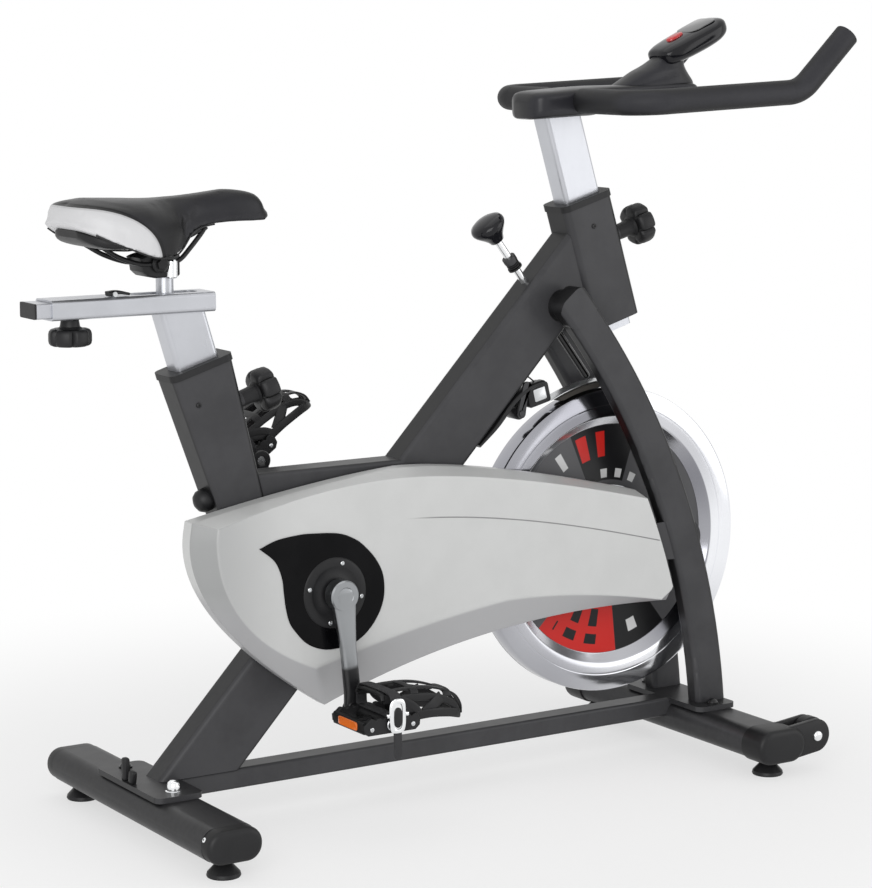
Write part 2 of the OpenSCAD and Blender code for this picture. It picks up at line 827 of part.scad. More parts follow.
// ---- drive ----
// Solid loop around both pulleys, at the distance grow from them, w wide.
module belt_loop(grow, w) {
    y0 = -belt_y - w / 2;
    rc = crank_pulley_r + grow;
    rw = wheel_pulley_r + grow;
    a = angle_to(crank_pt, wheel_pt);
    b = acos((rc - rw) / gap_to(crank_pt, wheel_pt));
    y_rod(crank_pt, rc, y0, y0 + w);
    y_rod(wheel_pt, rw, y0, y0 + w);
    side(y0, w) polygon([shift(crank_pt, tangent_in * rc, a + b), shift(wheel_pt, tangent_in * rw, a + b),
                         shift(wheel_pt, tangent_in * rw, a - b), shift(crank_pt, tangent_in * rc, a - b)]);
}

module drive_belt() {
    color(plastic_black) difference() {
        belt_loop(fit + belt_t, belt_w);
        belt_loop(fit, belt_w + 2);
    }
}

module pulley_rim(p, r) {
    difference() {
        y_rod(p, r + 2, -belt_y - belt_w / 2 - 2, -belt_y + belt_w / 2 + 2);
        difference() {
            y_rod(p, r + 3, -belt_y - belt_w / 2 - 0.1, -belt_y + belt_w / 2 + 0.1);
            y_rod(p, r, -belt_y - belt_w, -belt_y + belt_w);
        }
    }
}

module crank_spindle() {
    color(chrome) y_rod(crank_pt, spindle_r, -crank_y - crank_t + 4, crank_y + crank_t - 4);
}

module crank_pulley() {
    color([0.55, 0.56, 0.58]) difference() {
        union() {
            difference() {
                pulley_rim(crank_pt, crank_pulley_r);
                y_rod(crank_pt, crank_pulley_r - 12, -belt_y - 20, -belt_y + 20);
            }
            y_rod(crank_pt, crank_pulley_r - 12, -belt_y - 2.5, -belt_y + 2.5);
            y_rod(crank_pt, 26, -belt_y - 10, -shell_half - 1);
        }
        y_rod(crank_pt, spindle_r, -belt_y - 20, 0);
        for (i = [0:4]) y_rod(shift(crank_pt, 60, 72 * i), 20, -belt_y - 20, 0);
    }
}

module crank_arm(s, p) {
    y0 = s > 0 ? crank_y : -crank_y - crank_t;
    difference() {
        union() {
            side(y0, crank_t) link(crank_pt, p, 21, 16);
            y_rod(crank_pt, 23, s > 0 ? crank_y - 6 : -crank_y - crank_t,
                  s > 0 ? crank_y + crank_t : -crank_y + 6);
        }
        y_rod(crank_pt, spindle_r, s > 0 ? 0 : -crank_y - crank_t + 4, s > 0 ? crank_y + crank_t - 4 : 0);
        y_rod(crank_pt, 12, s > 0 ? crank_y + crank_t - 4 : -crank_y - crank_t - 1,
              s > 0 ? crank_y + crank_t + 1 : -crank_y - crank_t + 4);
        y_rod(p, pedal_axle_r + 1, s > 0 ? 0 : -200, s > 0 ? 200 : 0);
    }
}

module crank_arms() {
    color(silver) {
        crank_arm(-1, pedal_right_pt);
        crank_arm(1, pedal_left_pt);
    }
}

module pedal_axle(s, p) {
    a = crank_y + 2;
    b = crank_y + crank_t;
    c = pedal_y + pedal_w / 2 - 8;
    y_rod(p, pedal_axle_r + 1, s > 0 ? a : -b, s > 0 ? b : -a);
    y_rod(p, 9, s > 0 ? b : -b - 4, s > 0 ? b + 4 : -b, $fn = 6);
    y_rod(p, pedal_axle_r, s > 0 ? b : -c, s > 0 ? c : -b);
}

module pedal_axles() {
    color(chrome) {
        pedal_axle(-1, pedal_right_pt);
        pedal_axle(1, pedal_left_pt);
        for (s = [-1, 1]) translate([crank_pt[0], s * (crank_y + crank_t - 4), crank_pt[1]])
            rotate([-90 * s, 0, 0]) cylinder(r = 9, h = 3, $fn = 6);
    }
}

// Puts a pedal's own frame, with its axle along Y, at its place on the crank.
module at_pedal(s) {
    p = s > 0 ? pedal_left_pt : pedal_right_pt;
    translate([p[0], s * pedal_y, p[1]]) rotate([0, s > 0 ? -left_pedal_tilt : 0, 0])
        mirror([0, s > 0 ? 1 : 0, 0]) children();
}

module pedal_body() {
    difference() {
        translate([0, 0, -pedal_h / 2]) box_bar(pedal_len, pedal_w, pedal_h, 12);
        for (x = [-1, 1]) translate([x * (pedal_len / 4 + 3), 0, -pedal_h])
            box_bar(pedal_len / 2 - 18, pedal_w - 24, 2 * pedal_h, 6);
        translate([0, 0, groove_z + 4]) rotate([90, 0, 0]) translate([0, 0, -pedal_w])
            box_bar(pedal_len - 24, 8, 2 * pedal_w, 3.9);
        y_rod([0, 0], pedal_axle_r + fit, -pedal_w / 2 + 7, pedal_w);
    }
}

module cage_form(inset) {
    w = pedal_w / 2 - 6;
    hull() {
        for (y = [-1, 1]) {
            translate([-8, y * (w - 12), cage_h - 16]) sphere(14 - inset, $fn = 24);
            translate([54, y * (w - 14), cage_h - 16]) sphere(14 - inset, $fn = 24);
            translate([cage_reach - 30, y * (w - 26), 0]) sphere(16 - inset, $fn = 24);
            translate([-8, y * (w - 8), -pedal_h / 2 + 8]) sphere(8 - inset, $fn = 24);
        }
        translate([cage_reach - 18, 0, -2]) sphere(18 - inset, $fn = 24);
    }
}

module toe_cage() {
    difference() {
        cage_form(0);
        cage_form(3);
        translate([-100, -100, -100]) cube([88, 200, 200]);
        translate([-20, -100, -60]) cube([pedal_len / 2 + 22, 200, 60 + pedal_h / 2]);
        for (i = [0:2]) translate([8 + 25 * i, 0, 20]) box_bar(14, 46 - 6 * i, 100, 6);
        for (i = [0:1]) translate([16 + 30 * i, 0, 22]) rotate([90, 0, 0])
            translate([0, 0, -100]) box_bar(20, 10, 200, 4.5);
        for (i = [0:1]) translate([70 + 26 * i, 0, 6]) rotate([90, 0, 0])
            translate([0, 0, -100]) box_bar(16, 12, 200, 5);
    }
}

strap_t = 2.2;
strap_w = 18;
strap_x = -4;       // rear edge of a strap, from the pedal's axle
groove_z = pedal_h / 2 - strap_t - slack;
cage_top = cage_h - 2 + slack;   // the strap's underside, above the cage

// Solid that fills the strap's loop, grown by grow all round and w wide.
module strap_form(grow, w) {
    h = cage_top - groove_z - strap_t;
    translate([strap_x + strap_w / 2 - w / 2, 0, groove_z + strap_t + h / 2]) rotate([90, 0, 90])
        box_bar(pedal_w + 2 + 2 * grow, h + 2 * grow, w, 10 + grow);
}

module toe_strap() {
    difference() {
        strap_form(strap_t, strap_w);
        strap_form(0, strap_w + 2);
    }
    translate([strap_x, -pedal_w / 2 - 1 - strap_t, -72]) cube([strap_w, strap_t, 100]);
}

module pedal_right() {
    color(plastic_black) at_pedal(-1) pedal_body();
}

module toe_cage_right() {
    color(plastic_black) at_pedal(-1) toe_cage();
}

module toe_strap_right() {
    color([0.12, 0.12, 0.12]) at_pedal(-1) toe_strap();
}

module pedal_left() {
    color(plastic_black) at_pedal(1) pedal_body();
}

module toe_cage_left() {
    color(plastic_black) at_pedal(1) toe_cage();
}

module toe_strap_left() {
    color([0.12, 0.12, 0.12]) at_pedal(1) toe_strap();
}

// ---- flywheel ----
module wheel_ring(r0, r1, y0, y1) {
    difference() {
        y_rod(wheel_pt, r1, y0, y1, $fn = 128);
        y_rod(wheel_pt, r0, y0 - 1, y1 + 1, $fn = 128);
    }
}

module flywheel_rim() {
    e = 3;
    h = rim_w / 2;
    inner = wheel_r - rim_depth;
    color(chrome) at(wheel_pt) rotate([90, 0, 0]) rotate_extrude($fn = 180)
        polygon([[inner, -h + e], [inner + e, -h], [wheel_r - e, -h], [wheel_r, -h + e],
                 [wheel_r, h - e], [wheel_r - e, h], [inner + e, h], [inner, h - e]]);
}

module flywheel_disc() {
    color([0.33, 0.33, 0.34]) wheel_ring(hub_flange_r, wheel_r - rim_depth, -web_t / 2, web_t / 2);
}

module flywheel_hub() {
    color(silver) difference() {
        union() {
            wheel_ring(axle_r + fit, hub_flange_r, -web_t / 2 - 2, web_t / 2 + 2);
            wheel_ring(axle_r + fit, hub_r, -dropout_y + 1, dropout_y - 1);
            difference() {
                pulley_rim(wheel_pt, wheel_pulley_r);
                y_rod(wheel_pt, hub_r - 1, -100, 100);
            }
            for (i = [0:5]) y_rod(shift(wheel_pt, 60, 60 * i), 7, -web_t / 2 - 7, web_t / 2 + 7);
        }
        y_rod(wheel_pt, axle_r + fit, -100, 100);
    }
}

// ---- seat ----
sleeve_z = seat_pt[1] + seat_post_out * cos(seat_lean) + sleeve_h / 2;
sleeve_front = seat_pt[0] - seat_post_out * sin(seat_lean) + sleeve_ahead;
sleeve_rear = sleeve_front - sleeve_len;
sleeve_top = sleeve_z + sleeve_h / 2;
slider_rear = sleeve_rear - slider_out;
slider_front = slider_rear + slider_len;
pin_x = slider_front - saddle_pin_back;
slider_travel = [-38, 34];

module x_bar(x0, x1, w, h, r) {
    translate([x0, 0, 0]) rotate([0, 90, 0]) box_bar(h, w, x1 - x0, r);
}

module seat_post() {
    color(silver) difference() {
        in_seat() translate([0, 0, -seat_post_in])
            box_tube(post_depth, post_t, seat_post_in + seat_post_out + 30, 7, 2.5);
        translate([seat_pt[0] - 300, -100, sleeve_z - sleeve_h / 2]) cube([600, 200, 200]);
    }
}

module slider_sleeve() {
    slot = [pin_x + slider_travel[0] - saddle_pin_r - 2, pin_x + slider_travel[1] + saddle_pin_r + 2];
    color(silver) difference() {
        translate([0, 0, sleeve_z]) x_bar(sleeve_rear, sleeve_front, sleeve_w, sleeve_h, 6);
        translate([0, 0, sleeve_z])
            x_bar(sleeve_rear - 1, sleeve_front + 1, sleeve_w - 2 * tube_wall, sleeve_h - 2 * tube_wall, 3);
        translate([(slot[0] + slot[1]) / 2, 0, sleeve_z])
            box_bar(slot[1] - slot[0], 2 * saddle_pin_r + 3, 50, saddle_pin_r);
        translate([knob_x, 0, sleeve_z - 50]) cylinder(r = screw_r + fit, h = 50);
    }
}

slider_w = sleeve_w - 2 * tube_wall - 2 * slack;
slider_h = sleeve_h - 2 * tube_wall - 2 * slack;
pin_top = sleeve_top + saddle_pin_h;

module slider_tube() {
    color(silver) {
        translate([0, 0, sleeve_z]) difference() {
            x_bar(slider_rear, slider_front, slider_w, slider_h, 3);
            x_bar(slider_rear - 1, slider_rear + 12, slider_w - 5, slider_h - 5, 2);
        }
        translate([pin_x, 0, sleeve_z]) cylinder(r = saddle_pin_r, h = pin_top - sleeve_z);
    }
}

module slider_plugs() {
    color(plastic_black) {
        translate([0, 0, sleeve_z]) {
            x_bar(slider_rear, slider_rear + 12, slider_w - 5, slider_h - 5, 2);
            x_bar(slider_rear - 3, slider_rear, slider_w, slider_h, 3);
        }
    }
}

module knob_on_screw(gap) {
    cylinder(r = screw_r, h = gap + 1);
    translate([0, 0, gap - 14]) cylinder(r = 12, h = 14);
    translate([0, 0, gap]) lobed_knob(knob_d, knob_h);
}

knob_x = sleeve_rear + 38;

module slider_knob() {
    color(plastic_black) translate([knob_x, 0, sleeve_z - slider_h / 2 - slack]) rotate([180, 0, 0])
        knob_on_screw(tube_wall + 26);
}

module seat_knob() {
    gap = seat_depth / 2 + 32 - post_depth / 2;
    color(plastic_black) in_seat() translate([post_depth / 2 + slack, 0, -screw_down]) rotate([0, 90, 0])
        knob_on_screw(gap);
}

module bar_knob() {
    gap = head_depth / 2 + 40 - bar_post_depth / 2;
    color(plastic_black) in_head() translate([bar_post_depth / 2 + slack, 0, -screw_down]) rotate([0, 90, 0])
        knob_on_screw(gap);
}

clamp_len = 54;
rail_z = pin_top + saddle_clamp_h * 0.62;

// The rails' side view: [x behind the nose, height above the clamp's rails]
rail_path = [[52, 50], [126, 4], [150, 0], [212, 0], [236, 6], [276, 34]];
saddle_nose = pin_x + 160;
base_z = rail_z + 30;

module rail_at(s) {
    pts = [for (p = rail_path)
        [saddle_nose - p[0], s * rail_track / 2 * (p[0] > 200 || p[0] < 100 ? 0.8 : 1), rail_z + p[1]]];
    for (i = [0:len(pts) - 2]) let (d = pts[i + 1] - pts[i]) translate(pts[i]) {
        rotate([0, acos(d[2] / norm(d)), atan2(d[1], d[0])]) cylinder(r = rail_r, h = norm(d), $fn = 32);
        sphere(rail_r * 1.05, $fn = 32);
    }
}

module saddle_rails() {
    color(plastic_black) difference() {
        for (s = [-1, 1]) rail_at(s);
        saddle_base_form();
    }
}

module saddle_clamp() {
    color(plastic_black) difference() {
        union() {
            translate([pin_x - clamp_len / 2 + 8, 0, pin_top]) {
                box_bar(clamp_len, rail_track - 16, saddle_clamp_h, 8);
            }
            translate([pin_x - clamp_len / 2 + 8, 0, rail_z]) rotate([90, 0, 0])
                cylinder(r = 14, h = rail_track + 18, center = true);
        }
        for (s = [-1, 1]) rail_at(s);
        translate([pin_x, 0, 0]) cylinder(r = saddle_pin_r, h = pin_top);
    }
}

module saddle_outline(inset) {
    hull() {
        translate([saddle_nose - 24, 0]) circle(22 - inset, $fn = 32);
        translate([saddle_nose - 110, 0]) circle(30 - inset, $fn = 32);
        for (s = [-1, 1]) translate([saddle_nose - saddle_len + 62, s * (saddle_w / 2 - 58)])
            circle(58 - inset, $fn = 32);
    }
}

tray_top = base_z + 12;

// The saddle's cover, as sections across it, each with its place behind the nose as a share of the
// saddle's length, its half width as a share of the saddle's, and the heights of its crown and of
// its lower edge as shares of the padding. Behind the thighs the edge hangs down as a skirt.
saddle_sections = [[0, 0.1, 0.77, 0.55], [0.02, 0.2, 1.02, 0.46], [0.06, 0.25, 1.21, 0.37],
                   [0.16, 0.29, 1.21, 0.32], [0.25, 0.31, 1.12, 0.27], [0.36, 0.36, 1.04, 0.18],
                   [0.43, 0.45, 1, -0.02], [0.49, 0.55, 0.98, -0.42], [0.55, 0.7, 0.96, -0.6],
                   [0.62, 0.85, 0.96, -0.62], [0.69, 0.96, 0.98, -0.56], [0.78, 1, 1, -0.35],
                   [0.88, 0.98, 1.02, -0.1], [0.95, 0.84, 1, 0.14], [0.985, 0.66, 0.94, 0.24],
                   [1, 0.46, 0.83, 0.33]];
section_steps = 12;

// Points of one section: round over the top and flat below
function saddle_ring(s) = let (x = saddle_nose - saddle_len * s[0], w = saddle_w / 2 * s[1],
                               low = tray_top + saddle_h * s[3], h = saddle_h * (s[2] - s[3]))
    [for (i = [0:section_steps]) let (a = 180 * i / section_steps)
        [x, w * sign(cos(a)) * pow(abs(cos(a)), 0.7), low + h * pow(sin(a), 0.55)]];

module saddle_cover() {
    n = section_steps + 1;
    last = len(saddle_sections) - 1;
    polyhedron(
        points = [for (s = saddle_sections) each saddle_ring(s)],
        faces = concat([[for (i = [0:n - 1]) n - 1 - i]], [[for (i = [0:n - 1]) last * n + i]],
                       [for (k = [0:last - 1], i = [0:n - 1]) let (a = k * n + i, b = k * n + (i + 1) % n)
                           [a, b, a + n]],
                       [for (k = [0:last - 1], i = [0:n - 1]) let (a = k * n + i, b = k * n + (i + 1) % n)
                           [b, b + n, a + n]]));
}

// The space inside the skirt, up to height z
module tray_space(z0, z1) {
    translate([0, 0, z0]) linear_extrude(z1 - z0) saddle_outline(8);
}

module saddle_base_form() {
    difference() {
        union() {
            tray_space(base_z, tray_top);
            difference() {
                tray_space(tray_top, tray_top + 20);
                saddle_cover();
            }
        }
        side(-50, 100) polygon([[saddle_nose + 1, base_z - 1], [saddle_nose + 1, tray_top + 7],
                                [saddle_nose - 100, tray_top + 4], [saddle_nose - 128, base_z - 1]]);
    }
}

module saddle_base() {
    color(plastic_black) saddle_base_form();
}

module saddle_pad() {
    color([0.13, 0.13, 0.14]) difference() {
        saddle_cover();
        tray_space(base_z - 100, tray_top);
    }
}

// ---- handlebar ----
bar_pt = shift(shift(head_pt, bar_rise, 90 + head_lean), 26, 0);
elbow_r = 60;

module in_bar() {
    at(bar_pt) rotate([0, -bar_slope, 0]) children();
}

module bend(r, bend_r, angle) {
    rotate_extrude(angle = angle, $fn = 96) translate([bend_r, 0]) circle(r, $fn = 48);
}

// One half of the handlebar's centre line as a round bar of radius r, cut short by trim at its tip.
// Its bends are a hair thicker than its straight parts, so that the two cross cleanly.
module half_bar(r, trim) {
    bend_grow = 1.005;
    y1 = bar_track / 2 - bar_corner_r;
    t = elbow_r * tan(tip_angle / 2);
    rotate([-90, 0, 0]) cylinder(r = r, h = y1);
    translate([bar_corner_r, y1, 0]) rotate([0, 0, 90]) bend(r * bend_grow, bar_corner_r, 90);
    translate([0, bar_track / 2, 0]) {
        translate([bar_corner_r, 0, 0]) rotate([0, 90, 0]) cylinder(r = r, h = horn_len - bar_corner_r - t);
        translate([horn_len - t, 0, elbow_r]) rotate([90, 0, 0]) rotate([0, 0, -90])
            bend(r * bend_grow, elbow_r, tip_angle);
        translate([horn_len, 0, 0]) rotate([0, 90 - tip_angle, 0]) translate([0, 0, t])
            cylinder(r = r, h = tip_len - t - trim);
    }
}

module whole_bar(r, trim) {
    half_bar(r, trim);
    mirror([0, 1, 0]) half_bar(r, trim);
}

mount_w = 84;

module handlebar_tube() {
    color([0.3, 0.3, 0.32]) in_bar() whole_bar(bar_r, 5);
}

module bar_grips() {
    color([0.12, 0.12, 0.13]) in_bar() difference() {
        whole_bar(grip_r, 0);
        whole_bar(bar_r, 5);
        translate([-50, -mount_w / 2, -50]) cube([100, mount_w, 100]);
    }
}

mount_z = -24;  // underside of the mount below the bar's axis
console_pt = [228, 84];

module console_frame() {
    in_bar() translate([console_pt[0], 0, console_pt[1]]) rotate([0, bar_slope - console_tilt, 0])
        children();
}

module bar_mount() {
    color(plastic_black) difference() {
        in_bar() union() {
            translate([-22, 0, mount_z]) box_bar(124, mount_w, 42, 26);
            translate([100, 0, -4]) box_bar(220, 56, 20, 20);
            hull() {
                translate([180, 0, 0]) box_bar(90, 48, 14, 12, $fn = 32);
                translate([console_pt[0] - 26, 0, console_pt[1] - 34]) rotate([0, -console_tilt, 0])
                    box_bar(52, 40, 2, 12, $fn = 32);
            }
        }
        in_bar() whole_bar(bar_r, 5);
        in_bar() for (y = [mount_w / 2, -mount_w / 2 - 20]) translate([-50, y, -50]) cube([100, 20, 100]);
        console_frame() translate([0, 0, -console_t / 2]) box_bar(console_len + 20, console_w + 20, 100, 10);
    }
}

module handlebar_post() {
    color(silver) difference() {
        in_head() translate([0, 0, -bar_post_in])
            box_tube(bar_post_depth, post_t, bar_post_in + bar_rise + 20, 7, 2.5);
        in_bar() translate([-150, -100, mount_z]) cube([300, 200, 200]);
    }
}

module console() {
    h = [console_len / 2 - 22, console_w / 2 - 22];
    color(plastic_black) difference() {
        console_frame() hull() for (x = [-h[0], h[0]], y = [-h[1], h[1]]) translate([x, y, 0]) {
            translate([0, 0, -console_t / 2]) cylinder(r = 18, h = 1, $fn = 32);
            translate([0, 0, -2]) cylinder(r = 22, h = 4, $fn = 32);
            translate([0, 0, console_t / 2 - 1]) cylinder(r = 17, h = 1, $fn = 32);
        }
        console_frame() button_form(slack, 8);
    }
}

module button_form(grow, h) {
    translate([-26, 0, console_t / 2 - 6]) box_bar(30 + 2 * grow, 18 + 2 * grow, h, 8.5);
}

module console_button() {
    color([0.85, 0.16, 0.12]) console_frame() translate([0, 0, 2.2]) button_form(0, 5);
}

// ---- brake ----
rod_pt = beam_pt(rod_along, rod_above);
rod_dir = [cos(rod_angle), -sin(rod_angle)];
rod_up = 48;                 // length of the rod above that place

module brake_line() {
    at(rod_pt) rotate([0, 90 + rod_angle, 0]) children();
}

lever_r = wheel_r + pad_gap + pad_t;
lever_t = 6;
pivot_pt = beam_pt(pivot_along, -beam_depth / 2 - pivot_below);
lever_pin_r = 5;

module brake_mounts() {
    color(frame_black) {
        difference() {
            brake_line() {
                translate([0, 0, -2]) cylinder(r = 11, h = 60);
                translate([0, 0, -2]) cylinder(r = 15, h = 12, $fn = 6);
            }
            beam_solid();
            along_beam() translate([0, -100, 0]) cube([300, 200, 1200]);
            brake_line() cylinder(r = rod_r + fit, h = 200, center = true);
        }
        difference() {
            for (y = [-1, 1]) side(y * 20 - 4, 8)
                link(pivot_pt, beam_pt(pivot_along, -beam_depth / 2 - 2), 13, 24);
            beam_solid();
            y_rod(pivot_pt, lever_pin_r, -40, 40);
        }
        y_rod(pivot_pt, lever_pin_r, -24, 24);
    }
}

// Distance along the rod's line at which it is r away from the flywheel's axis
function rod_reach(r) = let (v = rod_pt - wheel_pt, b = v * rod_dir) -b - sqrt(b * b - v * v + r * r);

module brake_rod() {
    tip = rod_reach(lever_r + lever_t + slack + rod_r);
    color(chrome) brake_line() {
        translate([0, 0, -rod_up]) cylinder(r = rod_r, h = rod_up + tip);
        translate([0, 0, tip]) sphere(rod_r - 0.1);
    }
}

module brake_knob() {
    d = brake_knob_d;
    color(plastic_black) brake_line() translate([0, 0, -rod_up]) difference() {
        rotate([180, 0, 0]) translate([0, 0, -16]) rotate_extrude()
            polygon([[0, 0], [d / 5, 0], [d / 4.4, 14], [d / 2 - 2, 36], [d / 2, 42], [d / 2 - 3, 50],
                     [d / 3, 55], [0, 56]]);
        cylinder(r = rod_r + fit, h = 100);
    }
}

module lever_band(r0, r1, a0, a1, w) {
    at(wheel_pt) rotate([90, 0, 0]) rotate([0, 0, a0]) rotate_extrude(angle = a1 - a0, $fn = 180)
        translate([r0, -w / 2]) square([r1 - r0, w]);
}

module brake_pad() {
    color([0.35, 0.26, 0.18]) lever_band(wheel_r + pad_gap, lever_r, 80, 113, pad_w);
}

module brake_lever() {
    color(frame_black) difference() {
        union() {
            lever_band(lever_r, lever_r + lever_t, 78, 116, pad_w);
            side(-5, 10) link(pivot_pt, shift(wheel_pt, lever_r + 8, 112), 12, 7);
            y_rod(pivot_pt, 12, -15, 15);
        }
        y_rod(pivot_pt, lever_pin_r + fit, -40, 40);
    }
}

main_beam();
head_tube();
seat_tube();
post_bushes();
top_tube();
bottom_tube();
stabilisers();
stabiliser_plates();
frame_bolts();
end_caps();
fork_arms();
flywheel_axle();
bottom_bracket_shell();
bottom_bracket_bearings();
guard_shell();
guard_back();
guard_insert();
crank_cover();
drive_belt();
brake_mounts();
flywheel_rim();
flywheel_disc();
flywheel_hub();
crank_spindle();
crank_pulley();
crank_arms();
pedal_axles();
pedal_right();
toe_cage_right();
toe_strap_right();
pedal_left();
toe_cage_left();
toe_strap_left();
seat_post();
slider_sleeve();
slider_tube();
slider_plugs();
saddle_clamp();
saddle_rails();
saddle_base();
saddle_pad();
handlebar_post();
bar_mount();
handlebar_tube();
bar_grips();
console();
console_button();
seat_knob();
bar_knob();
slider_knob();
brake_rod();
brake_knob();
brake_lever();
brake_pad();
roller_right();
roller_left();
foot_rear_right();
foot_rear_left();
foot_front_right();
foot_front_left();
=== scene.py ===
"""Looks of an indoor cycling bike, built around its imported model. Sizes are in metres."""

from __future__ import annotations

import json
import logging
import sys
from dataclasses import dataclass
from enum import Enum
from math import acos, asin, atan2, copysign, cos, dist, hypot, pi, radians, sin
from typing import Callable, Sequence

import bmesh
import bpy
from mathutils import Matrix, Vector


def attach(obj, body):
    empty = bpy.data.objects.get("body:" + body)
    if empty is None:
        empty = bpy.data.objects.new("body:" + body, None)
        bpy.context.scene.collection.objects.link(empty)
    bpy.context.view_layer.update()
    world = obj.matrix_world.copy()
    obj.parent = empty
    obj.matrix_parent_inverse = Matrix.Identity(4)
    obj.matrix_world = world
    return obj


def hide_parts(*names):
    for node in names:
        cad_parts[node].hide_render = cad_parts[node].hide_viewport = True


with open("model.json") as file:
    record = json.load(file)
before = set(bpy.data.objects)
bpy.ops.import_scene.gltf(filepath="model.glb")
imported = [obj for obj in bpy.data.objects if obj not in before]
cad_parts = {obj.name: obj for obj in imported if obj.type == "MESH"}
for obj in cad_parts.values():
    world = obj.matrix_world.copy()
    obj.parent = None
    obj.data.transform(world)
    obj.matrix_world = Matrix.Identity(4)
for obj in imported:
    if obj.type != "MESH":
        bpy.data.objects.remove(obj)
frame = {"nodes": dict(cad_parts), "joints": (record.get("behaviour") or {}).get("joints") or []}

LOG = logging.getLogger("bike")
Colour = tuple[float, float, float]
Point = tuple[float, float, float]
Flat = tuple[float, float]
Width = Callable[[float], float] | float
Material = bpy.types.Material
AHEAD, ACROSS, UP = Vector((1, 0, 0)), Vector((0, 1, 0)), Vector((0, 0, 1))
LOOKS: dict[str, Material] = {}  # the finishes by name, which main() fills
PANEL_BEHIND, PANEL_LEVEL, PANEL_LENGTH, PANEL_RISE = 0.600, 0.828, 0.118, 0.078


# ---------------------------------------------------------------- shader tools
class Sock:
    """An output of a shader node that takes part in Python arithmetic."""

    def __init__(self, shader: Shader, socket: bpy.types.NodeSocket) -> None:
        """Keeps the shader and the socket."""
        self.shader = shader
        self.socket = socket

    def calc(self, operation: str, other: Sock | float = 0.0, flip: bool = False) -> Sock:
        """Adds one Math node, whose second operand comes first where flip is set, and returns its value."""
        pair = (other, self) if flip else (self, other)
        return self.shader.add("Math", {"operation": operation}, {0: pair[0], 1: pair[1]})

    def __add__(self, other: Sock | float) -> Sock:
        """Sum."""
        return self.calc("ADD", other)

    __radd__ = __add__

    def __sub__(self, other: Sock | float) -> Sock:
        """Difference."""
        return self.calc("SUBTRACT", other)

    def __rsub__(self, other: Sock | float) -> Sock:
        """Difference, reflected."""
        return self.calc("SUBTRACT", other, flip=True)

    def __mul__(self, other: Sock | float) -> Sock:
        """Product."""
        return self.calc("MULTIPLY", other)

    __rmul__ = __mul__

    def __truediv__(self, other: Sock | float) -> Sock:
        """Quotient."""
        return self.calc("DIVIDE", other)

    def __pow__(self, other: float) -> Sock:
        """Power."""
        return self.calc("POWER", other)

    def __abs__(self) -> Sock:
        """Absolute value."""
        return self.calc("ABSOLUTE")

    def sine(self) -> Sock:
        """Sine of an angle in radians."""
        return self.calc("SINE")

    def highest(self, other: Sock | float) -> Sock:
        """The larger of two values."""
        return self.calc("MAXIMUM", other)

    def step(self, low: float, high: float) -> Sock:
        """Rises smoothly from 0 to 1.

        Args:
            low: the value at which it is 0.
            high: the value at which it is 1. It may be below low.

        Returns:
            The eased value.
        """
        if low > high:
            return 1 - self.step(high, low)
        return self.shader.add("MapRange", {"interpolation_type": "SMOOTHSTEP"},
            {0: self, 1: low, 2: high, 3: 0.0, 4: 1.0})

    def band(self, low: float, high: float, soft: float) -> Sock:
        """1 between two values and 0 outside them, with edges soft wide."""
        return self.step(low - soft, low + soft) * self.step(high + soft, high - soft)


